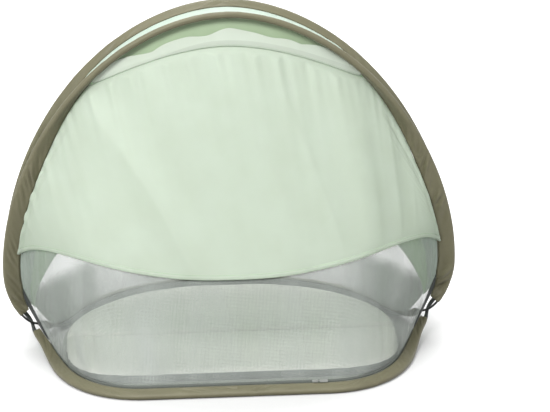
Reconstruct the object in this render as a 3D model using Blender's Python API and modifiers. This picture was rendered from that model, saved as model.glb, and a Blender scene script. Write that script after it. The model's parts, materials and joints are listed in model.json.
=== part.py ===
"""Baby travel tent: a pop-up shelter on two crossed spring-steel loops.

Each closed loop is bent like a saddle. Loop A is the front arch and the rear half of the base,
loop B is the rear arch and the front half of the base, and they cross at both sides just above
the floor. Fabric sleeves hold the wire, a gusset joins the two arches over the roof, the rear
wall is cloth above and netting below, and the front is a net door under a sun shade.

Frame: metres, +Z up, +X to the right, the door faces -Y, origin in the middle of the floor's
underside. The shapes are worked out about the plane where the loops cross, and main moves them
back to the middle of the floor. Left and right are mirror images.
"""
import math

import bmesh
import bpy
import numpy as np
from mathutils import Matrix, Vector

# Spring-steel loops
WIRE_DIAMETER = 0.0045
ARCH_HALF_WIDTH = 0.4408        # wire centre at the widest place of both arches
ARCH_WIDEST_Z = 0.160
ARCH_TOP_Z = 0.674              # wire centre at the crown
ARCH_TOP_Y = 0.064              # each crown leans this far from the middle plane
ARCH_ROUNDNESS = 1.86           # 2 is an ellipse, lower is more pointed
ARCH_LEAN_POWER = 2.3           # how soon the arches part above the crossing
ARCH_LOW_ANGLE = math.radians(60.0)
BASE_HALF_WIDTH = 0.362
FRONT_DEPTH = 0.305             # from the crossing plane to the front run of the base
FRONT_STRAIGHT = 0.165          # half length of its straight run
FRONT_ROUNDNESS = 2.25
REAR_DEPTH = 0.355
REAR_STRAIGHT = 0.050
REAR_ROUNDNESS = 2.0
BASE_RISE_LENGTH = 0.140        # the base climbs to the crossing over this depth
CROSS_HALF_WIDTH = 0.390
CROSS_Z = 0.046
CROSS_BLEND = 0.070             # the wires swing across each other within this reach
HEADING_A = (-0.72, 0.75, -0.40)      # way down through the crossing: loop A leans in and flat
HEADING_B = (-0.20, 0.75, -0.62)      # loop B falls more steeply
HINGE_GAP = 0.0006              # half the cut between the front and the rear pieces

# Sleeves around the wire: a fold of cloth, round over the wire and flat at its sewn edge
SLEEVE_WALL = 0.0007
SLEEVE_BULGE = 0.0050           # half thickness over the wire
SLEEVE_TOP_BULGE = 0.0062
SLEEVE_SEAM = 0.0017            # half thickness at the sewn edge
SIDE_SLEEVE_WIDTH = 0.0350
TOP_SLEEVE_WIDTH = 0.0250
LOW_SLEEVE_WIDTH = 0.0260
BASE_SLEEVE_WIDTH = 0.0270
BASE_END_WIDTH = 0.0190
SLEEVE_ROLL = math.radians(62.0)      # the fold lies towards the roof at the crown
ROLL_START_Z = 0.34             # the fold starts to roll and to narrow at this height
ROLL_END_Z = 0.60
FOOT_START_RISE = 0.02          # the arch sleeve widens between these rises above the crossing
FOOT_END_RISE = 0.09
BASE_WIDEN_START = 0.02         # the base sleeve widens between these depths from the middle plane
BASE_WIDEN_END = 0.16
ARCH_FOLD_RISE = 0.10           # the arch folds point at a place this far above the widest one
BASE_FOLD_DEPTH = 0.06          # the base folds point at a place this far from the middle plane
BASE_FOLD_SWING = 0.55          # below 1 they turn less than the place asks for
BASE_FOLD_TILT = math.radians(24.0)   # the base fold climbs towards the door
ARCH_SLEEVE_END = 0.036         # bare wire between the crossing and the arch sleeve
BASE_SLEEVE_END = 0.016
COVER_DIAMETER = 0.0082         # woven strap over loop B where it is bare
COVER_BORE = 0.0055
FERRULE_LENGTH = 0.030
FERRULE_DIAMETER = 0.0062

# Cloth
GAP = 0.0003
SLEEVE_CLEAR = 0.0006           # from the wire, or its ferrule, to the inside of the fold
CLOTH = 0.0010
SHEET_STEP = CLOTH + GAP        # between two sheets that are sewn together
PANEL_EDGE = 0.0009             # space between a panel's edge and the sleeve that holds it
SHEET_APART = 0.0008            # wall and roof cloth lie this far either side of the sewn edge
HEADER_CORNER = 0.365           # where the header meets the arch, share of the way to the side
HEADER_DROP = 0.054             # header depth in the middle
HEADER_POWER = 0.8
HEADER_TOP_DROP = 0.020         # from the arch down to the header's wavy free edge
HEADER_WAVE = 0.005
HEADER_WAVE_RATE = 42.0         # radians over half the door's width
HEADER_STANDOFF = 0.0050
HEADER_FOLD_RATE = 38.0
HEADER_REACH = 0.90             # share of the way to the header's corner
HEADER_HIGHEST = 0.60           # the free edge rises to this share of the seam's depth at most
VALANCE_DEPTH = 0.036
VALANCE_REACH = 0.88            # share of the way to the header's corner
VALANCE_DEEPEST = 0.85          # the valance reaches this share of the seam's depth at most
SHADE_STANDOFF = 0.0040
SHADE_INSET = 0.0060
SHADE_FOLD = 0.0030
SHADE_FOLD_RATE = 31.0          # radians over half the door's width
SHADE_REACH = 0.95              # share of the way to the hem's corner
SHADE_SEWN = 0.75               # share of its height above which the shade closes on the net
HEM_CORNER = 0.840              # where the hem meets the arch
HEM_LEVEL = 0.285               # hem height in the middle, share of the way up the door
HEM_POWER = 2.15
HEM_TURN = 0.14                 # share of the hem's rise that comes late, beside the arch
HEM_TURN_POWER = 8.0
HEM_DEPTH = 0.009
HEM_THICKNESS = 1.8 * CLOTH
BINDING_INNER = 0.955           # inner edge of the tape at the door's sides
BINDING_LOW = 0.10              # share of the way up the door
BINDING_TOP = 0.94
DOOR_REACH = 0.945              # share of the half hoop that the door and rear wall span
REAR_CLOTH_SIDE = 0.36
REAR_CLOTH_MIDDLE = 0.66
REAR_SEAM = 0.001               # half the space between the two, share of the way up the wall
GUSSET_BOW = 0.05               # the roof cloth bows out by this share of its width
KERB_END = 0.058                # from the crossing to the end of the upstand
KERB_FOOT_Z = 0.0004

# Floor and mattress
FLOOR_THICKNESS = 0.0016
FLOOR_INSET = 0.0260            # from the base wire to the floor's edge
PAD_INSET = 0.044
PAD_THICKNESS = 0.022
PAD_CROWN = 0.005
PAD_SIDE_RIM = 0.05             # share of the half width over which the edge is rounded
PAD_END_RIM = 0.06              # share of the length
PAD_SEAM_HEIGHT = 0.45          # height of the edge seam, share of the thickness
PAD_UNDER_ROUNDING = 1.6        # above 1 the underside is rounded less than the top

# Zip along the straight front run
ZIP_WIDTH = 0.0056
ZIP_THICKNESS = 0.0014
ZIP_REACH = 0.93
ZIP_HALF_RUN = 0.145            # the slider rests this far right of the middle
SLIDER_LENGTH = 0.0110
SLIDER_WIDTH = 0.0052          # no wider than the chain, so the door lifts past it
SLIDER_PLATE = 0.0012
SLIDER_CLEAR = 0.0006           # running clearance over the chain
EAR_LENGTH = 0.0036
EAR_THICKNESS = 0.0011
EAR_SPACE = 0.0026              # between the two ears
EAR_HEIGHT = 0.0030
PIN_DIAMETER = 0.0012
KNUCKLE_DIAMETER = 0.0030
KNUCKLE_BORE = 0.0018
KNUCKLE_LENGTH = 0.0018
PULL_LENGTH = 0.0240
PULL_WIDTH = 0.0055
PULL_THICKNESS = 0.0011
NECK_WIDTH = 0.8 * KNUCKLE_LENGTH
GRIP_LENGTH = 0.62 * PULL_LENGTH
GRIP_CENTRE = 0.66 * PULL_LENGTH
GRIP_THICKNESS = 1.3 * PULL_THICKNESS

# Mesh counts
STATIONS = 35                   # rings shared by sleeves, wires and sheets, so that edges run parallel
END_STATIONS = 5
STATION_MERGE = 0.004           # shares closer than this to a piece's end are left out
PANEL_DOWN = 6
FLOOR_ACROSS = 10
PAD_ACROSS = 12
PLAN_DOWN = 8
KERB_ACROSS = 24

WIRE_RADIUS = WIRE_DIAMETER / 2
FRONT, REAR = -1, 1
LOOP_A, LOOP_B = -1, 1
BASE_SHAPES = {FRONT: (FRONT_DEPTH, FRONT_STRAIGHT, FRONT_ROUNDNESS),
               REAR: (REAR_DEPTH, REAR_STRAIGHT, REAR_ROUNDNESS)}
CROSS_Y = -(REAR_DEPTH - FRONT_DEPTH) / 2      # the crossing plane, from the middle of the floor

COLOURS = {
    "steel": (0.012, 0.012, 0.013),
    "olive": (0.205, 0.205, 0.150),
    "mint": (0.640, 0.760, 0.610),
    "mint_shadow": (0.380, 0.480, 0.330),
    "net": (0.330, 0.370, 0.340),
    "charcoal": (0.055, 0.060, 0.058),
    "floor": (0.330, 0.370, 0.320),
    "pad": (0.420, 0.450, 0.400),
    "zinc": (0.350, 0.350, 0.340),
}


def clear_scene():
    for item in list(bpy.data.objects):
        bpy.data.objects.remove(item, do_unlink=True)


def new_collection(name):
    group = bpy.data.collections.new(name)
    bpy.context.scene.collection.children.link(group)
    return group


def dress(item, finish, roughness=0.85, metallic=0.0):
    """Give the object a material of its own."""
    material = bpy.data.materials.new(item.name + "_finish")
    material.use_nodes = True
    shader = material.node_tree.nodes["Principled BSDF"]
    shader.inputs["Base Color"].default_value = (*COLOURS[finish], 1.0)
    shader.inputs["Roughness"].default_value = roughness
    shader.inputs["Metallic"].default_value = metallic
    item.data.materials.append(material)
    return item


def smoothstep(value, low, high):
    share = np.clip((value - low) / (high - low), 0.0, 1.0)
    return share * share * (3 - 2 * share)


def bunched(even, ends=0.55):
    """Push even shares towards both ends."""
    return (1 - ends) * even + ends * (0.5 - 0.5 * np.cos(np.pi * even))


def stations(span=1.0, halved=False):
    """Shares of the door's width from -span to span, the same ones for every piece."""
    common = 2 * bunched(np.linspace(0, 1, STATIONS)) - 1
    if halved:
        common = np.sort(np.concatenate([common, (common[1:] + common[:-1]) / 2]))
    inside = common[np.abs(common) < span - STATION_MERGE]
    return np.concatenate([[-span], inside, [span]])


def read_list(values, share):
    """Value of a list at a share of its length."""
    return np.interp(share, np.linspace(0, 1, len(values)), values)


def hermite(p0, p1, t0, t1, count):
    """Cubic curve from p0 to p1 with the end tangents t0 and t1."""
    s = np.linspace(0, 1, count)[:, None]
    return ((2 * s**3 - 3 * s**2 + 1) * p0 + (s**3 - 2 * s**2 + s) * t0
            + (3 * s**2 - 2 * s**3) * p1 + (s**3 - s**2) * t1)


def arch_half(side, count=200):
    """Right half of an arch from the crown down to the crossing: ellipse above, run-in below."""
    theta = np.linspace(math.pi / 2, -ARCH_LOW_ANGLE, count)
    power = 2 / ARCH_ROUNDNESS
    above = theta > 0
    cosine, sine = np.cos(theta), np.sin(theta)
    low_width = (ARCH_HALF_WIDTH - CROSS_HALF_WIDTH) / (1 - math.cos(ARCH_LOW_ANGLE))
    low_height = (ARCH_WIDEST_Z - CROSS_Z) / math.sin(ARCH_LOW_ANGLE)
    x = np.where(above, ARCH_HALF_WIDTH * np.abs(cosine) ** power,
                 ARCH_HALF_WIDTH - low_width * (1 - cosine))
    z = np.where(above, ARCH_WIDEST_Z + (ARCH_TOP_Z - ARCH_WIDEST_Z) * np.abs(sine) ** power,
                 ARCH_WIDEST_Z + low_height * sine)
    climb = np.clip((z - CROSS_Z) / (ARCH_TOP_Z - CROSS_Z), 0, 1)
    y = side * ARCH_TOP_Y * (1 - (1 - climb) ** ARCH_LEAN_POWER)
    return np.stack([x, y, z], 1)


def base_outline(side, depth):
    """Half width of the base loop at a depth from the crossing plane."""
    deepest, straight, roundness = BASE_SHAPES[side]
    share = np.clip(np.abs(depth) / deepest, 0, 1)
    corner = (1 - share ** roundness) ** (1 / roundness)
    return straight + (BASE_HALF_WIDTH - straight) * corner


def base_wire_z():
    return SLEEVE_BULGE + GAP


def base_half(side, count=200):
    """Right half of a base half-loop from its middle to the crossing."""
    deepest, straight, roundness = BASE_SHAPES[side]
    angle = np.linspace(math.pi / 2, 0, count)
    power = 2 / roundness
    x = straight + (BASE_HALF_WIDTH - straight) * np.abs(np.cos(angle)) ** power
    y = side * deepest * np.abs(np.sin(angle)) ** power
    run = np.linspace(0, straight, count // 2, endpoint=False)
    x = np.concatenate([run, x])
    y = np.concatenate([np.full(len(run), side * deepest), y])
    lift = (1 - np.clip(np.abs(y) / BASE_RISE_LENGTH, 0, 1)) ** 2
    z = base_wire_z() + (CROSS_Z - base_wire_z()) * lift
    x = x + (CROSS_HALF_WIDTH - BASE_HALF_WIDTH) * lift
    return np.stack([x, y, z], 1)


def crossing(loop):
    """Where a loop passes the middle plane on the right; loop A lies inside and above loop B."""
    apart = (WIRE_RADIUS + COVER_DIAMETER / 2 + GAP) / 2
    inward = np.array([-math.sqrt(0.5), 0.0, math.sqrt(0.5)])
    return np.array([CROSS_HALF_WIDTH, 0.0, CROSS_Z]) - loop * apart * inward


def run_in(half, loop, heading):
    """Trim a half curve short of the crossing and swing it through the crossing point."""
    goal = crossing(loop)
    far = np.linalg.norm(half - goal, axis=1) > CROSS_BLEND
    kept = half[:np.argmin(far)] if not far.all() else half
    start = kept[-1]
    leave = kept[-1] - kept[-2]
    reach = np.linalg.norm(goal - start)
    leave = leave / np.linalg.norm(leave) * reach * 1.1
    arrive = heading / np.linalg.norm(heading) * reach * 1.1
    bend = hermite(start, goal, leave, arrive, 40)
    return np.concatenate([kept, bend[1:]])


def half_hoop(kind, side):
    """Whole half hoop from the left crossing over its middle to the right crossing."""
    loop = LOOP_A if (kind == "arch") == (side == FRONT) else LOOP_B
    down = np.array(HEADING_A if loop == LOOP_A else HEADING_B)
    if kind == "arch":
        right = run_in(arch_half(side), loop, down * np.array([1, -side, 1]))
    else:
        right = run_in(base_half(side), loop, down * np.array([-1, -side, -1]))
    left = right[::-1] * np.array([-1.0, 1.0, 1.0])
    return np.concatenate([left[:-1], right])


class Hoop:
    """A half hoop that can be read at any share of its length, -1 left, 0 middle, 1 right."""

    def __init__(self, kind, side):
        self.kind, self.side = kind, side
        self.points = half_hoop(kind, side)
        steps = np.linalg.norm(np.diff(self.points, axis=0), axis=1)
        self.run = np.concatenate([[0], np.cumsum(steps)])
        self.length = self.run[-1]

    def at(self, share):
        place = (np.asarray(share, float) + 1) / 2 * self.length
        return np.stack([np.interp(place, self.run, self.points[:, i]) for i in range(3)], -1)

    def tangent(self, share):
        share = np.asarray(share, float)
        low, high = np.clip(share - 0.004, -1, 1), np.clip(share + 0.004, -1, 1)
        line = self.at(high) - self.at(low)
        return line / np.linalg.norm(line, axis=-1, keepdims=True)

    def share_before_end(self, distance):
        return 1 - 2 * distance / self.length

    def sleeve_end(self):
        return self.share_before_end(ARCH_SLEEVE_END if self.kind == "arch" else BASE_SLEEVE_END)

    def end_shares(self):
        """Shares along the bare stretch from the sleeve's end to the cut at the crossing."""
        start = self.sleeve_end() + 2 * GAP / self.length
        return np.linspace(start, self.share_before_end(COVER_DIAMETER / 2 + HINGE_GAP), END_STATIONS)

    def wire_shares(self):
        ends = np.append(self.end_shares(), self.share_before_end(WIRE_RADIUS + 2 * HINGE_GAP))
        return np.concatenate([-ends[::-1], stations() * DOOR_REACH, ends])

    def sleeve_shares(self):
        end = self.sleeve_end()
        return np.concatenate([[-end], stations() * DOOR_REACH, [end]])

    def crown_share(self, share):
        """How far the fold has rolled towards the roof: 0 at the sides, 1 at the crown."""
        return smoothstep(self.at(share)[..., 2], ROLL_START_Z, ROLL_END_Z)

    def fold_direction(self, share):
        """Unit vector from the wire to the sewn edge of its sleeve."""
        point, along = self.at(share), self.tangent(share)
        if self.kind == "arch":
            centre = np.array([0.0, 0.0, ARCH_WIDEST_Z + ARCH_FOLD_RISE])
            inward = (centre - point) * np.array([1.0, 0.0, 1.0])
            inward -= (inward * along).sum(-1, keepdims=True) * along
            inward /= np.linalg.norm(inward, axis=-1, keepdims=True)
            roll = SLEEVE_ROLL * self.crown_share(share)[..., None]
            across = np.array([0.0, -self.side, 0.0])
            across = across - (across * along).sum(-1, keepdims=True) * along
            across /= np.linalg.norm(across, axis=-1, keepdims=True)
            fold = inward * np.cos(roll) + across * np.sin(roll)
        else:
            centre = np.array([0.0, self.side * BASE_FOLD_DEPTH, 0.0])
            inward = (centre - point) * np.array([BASE_FOLD_SWING, 1.0, 0.0])
            inward -= (inward * along).sum(-1, keepdims=True) * along
            inward /= np.linalg.norm(inward, axis=-1, keepdims=True)
            fold = inward * math.cos(BASE_FOLD_TILT) + np.array([0.0, 0.0, math.sin(BASE_FOLD_TILT)])
            fold -= (fold * along).sum(-1, keepdims=True) * along
        return fold / np.linalg.norm(fold, axis=-1, keepdims=True)

    def fold_width(self, share):
        """Sleeve width at a share of the hoop."""
        share = np.abs(np.asarray(share, float))
        if self.kind == "arch":
            rise = self.at(share)[..., 2] - CROSS_Z
            foot = 1 - smoothstep(rise, FOOT_START_RISE, FOOT_END_RISE)
            wide = SIDE_SLEEVE_WIDTH + (TOP_SLEEVE_WIDTH - SIDE_SLEEVE_WIDTH) * self.crown_share(share)
            return wide + (LOW_SLEEVE_WIDTH - SIDE_SLEEVE_WIDTH) * foot
        depth = np.abs(self.at(share)[..., 1])
        near = 1 - smoothstep(depth, BASE_WIDEN_START, BASE_WIDEN_END)
        return BASE_SLEEVE_WIDTH + (BASE_END_WIDTH - BASE_SLEEVE_WIDTH) * near

    def bulge(self, share):
        """Half thickness of the sleeve over the wire."""
        if self.kind == "base":
            return np.full(np.shape(share), SLEEVE_BULGE)
        return SLEEVE_BULGE + (SLEEVE_TOP_BULGE - SLEEVE_BULGE) * self.crown_share(share)

    def seat(self, share):
        """How far the fold is drawn inwards, so that its outer side bears on the wire."""
        inside = WIRE_RADIUS if self.kind == "arch" else FERRULE_DIAMETER / 2
        return self.bulge(share) - SLEEVE_WALL - inside - SLEEVE_CLEAR

    def outward(self, share):
        """Unit vector across the fold, towards the outside of the wall that it holds."""
        return self.side * np.cross(self.tangent(share), self.fold_direction(share))

    def seam(self, share, clear=PANEL_EDGE, aside=0.0):
        """Line just past the sewn edge, where the sheets are held."""
        reach = self.fold_width(share) - self.bulge(share) + clear
        return (self.at(share) + self.fold_direction(share) * reach[..., None]
                + self.outward(share) * aside)


def grid_object(name, group, rule, across, down, thickness=0.0, wrap=False):
    """Open sheet whose points follow a rule of (u, v) in 0..1, given a wall by Solidify."""
    work = bmesh.new()
    bmesh.ops.create_grid(work, x_segments=across, y_segments=down, size=0.5)
    uv = np.array([vert.co[:2] for vert in work.verts]) + 0.5
    places = rule(uv[:, 0], uv[:, 1])
    for vert, place in zip(work.verts, places):
        vert.co = Vector(place)
    if wrap:
        bmesh.ops.remove_doubles(work, verts=work.verts, dist=1e-6)
    mesh = bpy.data.meshes.new(name)
    work.to_mesh(mesh)
    work.free()
    item = bpy.data.objects.new(name, mesh)
    group.objects.link(item)
    if thickness:
        wall = item.modifiers.new("Wall", "SOLIDIFY")
        wall.thickness = thickness
        wall.offset = 0.0
        wall.use_even_offset = True
    return item


def flip_if_inward(item, centre_rule):
    """Turn a sheet's faces so that they point away from the given inside point."""
    work = bmesh.new()
    work.from_mesh(item.data)
    work.faces.ensure_lookup_table()
    face = work.faces[len(work.faces) // 2]
    if face.normal.dot(face.calc_center_median() - Vector(centre_rule)) < 0:
        bmesh.ops.reverse_faces(work, faces=work.faces)
    work.to_mesh(item.data)
    work.free()
    return item


def wire_object(name, group, hoop):
    """Round wire along a hoop, as a curve with filled caps."""
    data = bpy.data.curves.new(name, "CURVE")
    data.dimensions = "3D"
    data.bevel_depth = WIRE_RADIUS
    data.bevel_resolution = 1
    data.use_fill_caps = True
    line = data.splines.new("POLY")
    places = hoop.at(hoop.wire_shares())
    line.points.add(len(places) - 1)
    for point, place in zip(line.points, places):
        point.co = (*place, 1.0)
    item = bpy.data.objects.new(name, data)
    group.objects.link(item)
    return item


def hollow_tube(name, group, hoop, shares, radius, bore, sides=8):
    """Round cover of a wire, open at both ends."""
    def rule(u, v):
        share = read_list(shares, v)
        centre, along = hoop.at(share), hoop.tangent(share)
        first = hoop.fold_direction(share)
        second = np.cross(along, first)
        angle = 2 * math.pi * u
        middle = (radius + bore) / 2
        return centre + middle * (np.cos(angle)[:, None] * first + np.sin(angle)[:, None] * second)
    return grid_object(name, group, rule, sides, len(shares) - 1, radius - bore, wrap=True)


def join(name, items):
    """Put several meshes into one object."""
    bpy.context.view_layer.update()
    with bpy.context.temp_override(active_object=items[0], selected_editable_objects=items):
        bpy.ops.object.join()
    items[0].name = name
    items[0].data.name = name
    return items[0]


def applied(item):
    """Turn an object with modifiers, or a curve, into a plain mesh."""
    graph = bpy.context.evaluated_depsgraph_get()
    mesh = bpy.data.meshes.new_from_object(item.evaluated_get(graph))
    work = bmesh.new()
    work.from_mesh(mesh)
    bmesh.ops.remove_doubles(work, verts=work.verts, dist=1e-6)
    work.to_mesh(mesh)
    work.free()
    plain = bpy.data.objects.new(item.name, mesh)
    plain.matrix_world = item.matrix_world
    item.users_collection[0].objects.link(plain)
    name = item.name
    bpy.data.objects.remove(item, do_unlink=True)
    plain.name = name
    return plain


def sleeve_section():
    """Closed outline of the fold: round over the wire, tapering to the sewn edge.

    Returns the place along the fold as shares (bulge, reach, seam) and across as (bulge, seam).
    """
    corner = math.sqrt(0.5)
    rows = [(-1.0, 0.0, 0.0, 0.0, 0.0), (-corner, 0.0, 0.0, corner, 0.0), (0.15, 0.0, 0.0, 1.0, 0.0),
            (0.0, 0.55, 0.0, 0.5, 0.5), (0.0, 1.0, -1.0, 0.0, 1.0)]
    back = [(a, b, c, -d, -e) for a, b, c, d, e in rows[:0:-1]]
    tip = [(0.0, 1.0, 0.0, 0.0, 0.0)]
    return np.array(rows + tip + back)


def sleeve_object(name, group, hoop):
    """Hollow sleeve around a half hoop."""
    section = sleeve_section()
    count = len(section)
    shares = hoop.sleeve_shares()

    def rule(u, v):
        index = np.rint(u * count).astype(int) % count
        share = read_list(shares, v)
        centre, along, fold = hoop.at(share), hoop.tangent(share), hoop.fold_direction(share)
        side = np.cross(along, fold)
        bulge, width = hoop.bulge(share), hoop.fold_width(share)
        reach = width - bulge
        row = section[index]
        deep = row[:, 0] * bulge + row[:, 1] * reach + row[:, 2] * SLEEVE_SEAM
        deep += (1 - row[:, 1]) * hoop.seat(share)
        thick = row[:, 3] * bulge + row[:, 4] * SLEEVE_SEAM
        return centre + fold * deep[:, None] + side * thick[:, None]

    item = grid_object(name, group, rule, count, len(shares) - 1, wrap=True)
    face_tube_outwards(item, hoop)
    wall = item.modifiers.new("Wall", "SOLIDIFY")
    wall.thickness = SLEEVE_WALL
    wall.offset = -1
    return item


def face_tube_outwards(item, hoop):
    """Point a tube's faces away from its middle line."""
    work = bmesh.new()
    work.from_mesh(item.data)
    samples = hoop.at(np.linspace(-1, 1, 400))
    work.faces.ensure_lookup_table()
    face = work.faces[len(work.faces) // 2]
    middle = np.array(face.calc_center_median())
    nearest = samples[np.argmin(np.linalg.norm(samples - middle, axis=1))]
    if np.dot(np.array(face.normal), middle - nearest) < 0:
        bmesh.ops.reverse_faces(work, faces=work.faces)
    work.to_mesh(item.data)
    work.free()


class Wall:
    """Ruled sheet from the base seam up to the arch seam, on the front or the rear."""

    def __init__(self, arch, base):
        self.arch, self.base = arch, base
        self.side = arch.side

    def point(self, u, v):
        """Place at u across (-1..1) and v up (0..1)."""
        foot = self.base.seam(u * DOOR_REACH)
        head = self.arch.seam(u * DOOR_REACH, aside=SHEET_APART)
        return foot * (1 - v)[:, None] + head * v[:, None]

    def height(self, u):
        return np.linalg.norm(self.arch.seam(u * DOOR_REACH) - self.base.seam(u * DOOR_REACH), axis=1)

    def normal(self, u, v):
        step = 0.003
        du = self.point(np.clip(u + step, -1, 1), v) - self.point(np.clip(u - step, -1, 1), v)
        dv = self.point(u, v + step) - self.point(u, v - step)
        out = np.cross(du, dv)
        out /= np.maximum(np.linalg.norm(out, axis=1, keepdims=True), 1e-12)
        return out if self.side == FRONT else -out

    def off(self, u, v, distance):
        return self.point(u, v) + self.normal(u, v) * np.asarray(distance)[..., None]


def header_drop(u):
    """Depth of the door's top seam below the arch: deep in the middle, none past the corners."""
    share = np.clip(np.abs(u) / HEADER_CORNER, 0, 1)
    return HEADER_DROP * (1 - share ** 2) ** HEADER_POWER


def top_seam(wall, u):
    """Height of the door's top seam, as a share of the way up the door."""
    return 1 - header_drop(u) / wall.height(u)


def hem_level(u):
    """Height of the sun shade's scalloped hem, as a share of the way up the door."""
    share = np.abs(u) / HEM_CORNER
    rise = (1 - HEM_TURN) * share ** HEM_POWER + HEM_TURN * share ** HEM_TURN_POWER
    return HEM_LEVEL + (1 - HEM_LEVEL) * rise


def build_wires(group, hoops):
    """The two loops, cut at the middle plane into four half hoops."""
    for (kind, side), hoop in hoops.items():
        where = "front" if side == FRONT else "rear"
        dress(applied(wire_object(f"{where}_{kind}_wire", group, hoop)), "steel", 0.45, 0.6)


def build_sleeves(group, hoops):
    for (kind, side), hoop in hoops.items():
        where = "front" if side == FRONT else "rear"
        item = sleeve_object(f"{where}_{kind}_sleeve", group, hoop)
        dress(item, "olive")


def build_covers(group, hoops):
    """Woven covers over the bare stretches of loop B at both crossings."""
    for kind, side, name in (("arch", REAR, "rear_wire_cover"), ("base", FRONT, "front_wire_cover")):
        hoop = hoops[kind, side]
        for hand, where in ((-1, "left"), (1, "right")):
            piece = hollow_tube(f"{name}_{where}", group, hoop, hand * hoop.end_shares(),
                                COVER_DIAMETER / 2, COVER_BORE / 2)
            face_tube_outwards(piece, hoop)
            dress(piece, "charcoal")


def build_ferrules(group, hoops):
    """Crimped tubes that close each loop, hidden inside the base sleeves."""
    for side, name in ((FRONT, "front_ferrule"), (REAR, "rear_ferrule")):
        hoop = hoops["base", side]
        half = FERRULE_LENGTH / hoop.length
        item = hollow_tube(name, group, hoop, np.array([-half, half]), FERRULE_DIAMETER / 2,
                           WIRE_RADIUS + GAP, sides=10)
        face_tube_outwards(item, hoop)
        dress(item, "zinc", 0.35, 1.0)


def panel(name, group, wall, across, low, high, down, finish, lift=None, thickness=CLOTH):
    """A sheet of the wall between two heights, each a rule of u, given its thickness."""
    def rule(a, b):
        u = read_list(across, a)
        v = low(u) + (high(u) - low(u)) * b
        return wall.off(u, v, lift(u, v, b) if lift else np.zeros(len(u)))
    item = grid_object(name, group, rule, len(across) - 1, down, thickness)
    flip_if_inward(item, (0.0, 0.0, 0.2))
    return dress(item, finish)


def build_front(group, wall):
    """Valance, header, net door, sun shade and its hem."""
    def under(metres):
        """Rule for a line a few millimetres below the door's top seam."""
        return lambda u: top_seam(wall, u) - metres / wall.height(u)

    def valance_low(u):
        return 1 - np.minimum(VALANCE_DEPTH, header_drop(u) * VALANCE_DEEPEST) / wall.height(u)

    def header_top(u):
        wave = HEADER_TOP_DROP + HEADER_WAVE * np.cos(u * HEADER_WAVE_RATE)
        return 1 - np.minimum(wave, header_drop(u) * HEADER_HIGHEST) / wall.height(u)

    def header_lift(u, v, b):
        clear = SHEET_STEP * np.clip(b / 0.3, 0, 1)
        return clear + HEADER_STANDOFF * b * (0.7 + 0.3 * np.sin(u * HEADER_FOLD_RATE))

    def shade_lift(u, v, b):
        fold = 0.5 - 0.5 * np.cos(u * SHADE_FOLD_RATE + 2.2 * np.sin(u * 5.0))
        fade = np.sin(np.pi * np.clip(b, 0, 1)) ** 0.5
        sewn = smoothstep(b, SHADE_SEWN, 1.0)
        return SHADE_STANDOFF + (SHEET_STEP - SHADE_STANDOFF) * sewn + SHADE_FOLD * fold * fade

    corner = stations(HEADER_CORNER * VALANCE_REACH)
    panel("valance", group, wall, corner, valance_low, lambda u: 1 - PANEL_EDGE / wall.height(u), 2,
          "mint_shadow")
    narrow = stations(HEADER_CORNER * HEADER_REACH, halved=True)
    panel("header_band", group, wall, narrow, under(0.0), header_top, 4, "mint", header_lift)
    panel("door_net", group, wall, stations(), lambda u: (ZIP_WIDTH + 2 * GAP) / wall.height(u),
          under(2 * GAP), PANEL_DOWN, "net")
    hem = stations(HEM_CORNER * SHADE_REACH, halved=True)
    panel("sun_shade", group, wall, hem, lambda u: hem_level(u) + (HEM_DEPTH + 4 * GAP) / wall.height(u),
          under(SHADE_INSET), 6, "mint", shade_lift)
    panel("shade_hem", group, wall, hem, hem_level, lambda u: hem_level(u) + HEM_DEPTH / wall.height(u),
          1, "mint", lambda u, v, b: np.full(len(u), SHADE_STANDOFF), thickness=HEM_THICKNESS)


def build_bindings(group, wall):
    """Dark tape over the door's short side edges, beside each crossing."""
    for hand, where in ((-1, "left"), (1, "right")):
        across = np.sort(hand * np.array([BINDING_INNER, (1 + BINDING_INNER) / 2, 1.0]))
        panel(f"door_binding_{where}", group, wall, across, lambda u: np.full(len(u), BINDING_LOW),
              lambda u: np.full(len(u), BINDING_TOP), 4, "charcoal",
              lambda u, v, b: np.full(len(u), CLOTH + 2 * GAP))


def build_zip(group, wall):
    """Zip chain at the foot of the door."""
    panel("zip_chain", group, wall, stations(ZIP_REACH), lambda u: np.zeros(len(u)),
          lambda u: ZIP_WIDTH / wall.height(u), 1, "charcoal", thickness=ZIP_THICKNESS)


def zip_frame(wall):
    """Matrix at the chain's middle line where the slider rests: X along, Y up the door, Z out."""
    u = np.linspace(0, 1, 2000)
    foot = wall.point(u, np.zeros(len(u)))
    u0 = u[np.argmin(np.abs(foot[:, 0] - ZIP_HALF_RUN))]
    foot, head = wall.point(np.array([u0, u0]), np.array([0.0, 1.0]))
    up = Vector((0.0, head[1] - foot[1], head[2] - foot[2])).normalized()
    along = Vector((1.0, 0.0, 0.0))
    out = along.cross(up)
    frame = Matrix((along, up, out)).transposed().to_4x4()
    frame.translation = Vector(foot) + up * (ZIP_WIDTH / 2)
    return frame


def block(name, group, size, centre, bevel=0.0):
    """Box of a given size about a centre, with its edges rounded."""
    work = bmesh.new()
    bmesh.ops.create_cube(work, size=1.0)
    bmesh.ops.scale(work, vec=Vector(size), verts=work.verts)
    bmesh.ops.translate(work, vec=Vector(centre), verts=work.verts)
    if bevel:
        bmesh.ops.bevel(work, geom=work.edges[:], offset=bevel, segments=1, affect="EDGES")
    return object_from(name, group, work)


def rod(name, group, diameter, length, centre, sides=12):
    """Cylinder along Y about a centre."""
    work = bmesh.new()
    bmesh.ops.create_cone(work, cap_ends=True, segments=sides, radius1=diameter / 2,
                          radius2=diameter / 2, depth=length)
    bmesh.ops.rotate(work, matrix=Matrix.Rotation(math.pi / 2, 3, "X"), verts=work.verts)
    bmesh.ops.translate(work, vec=Vector(centre), verts=work.verts)
    return object_from(name, group, work)


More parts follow.
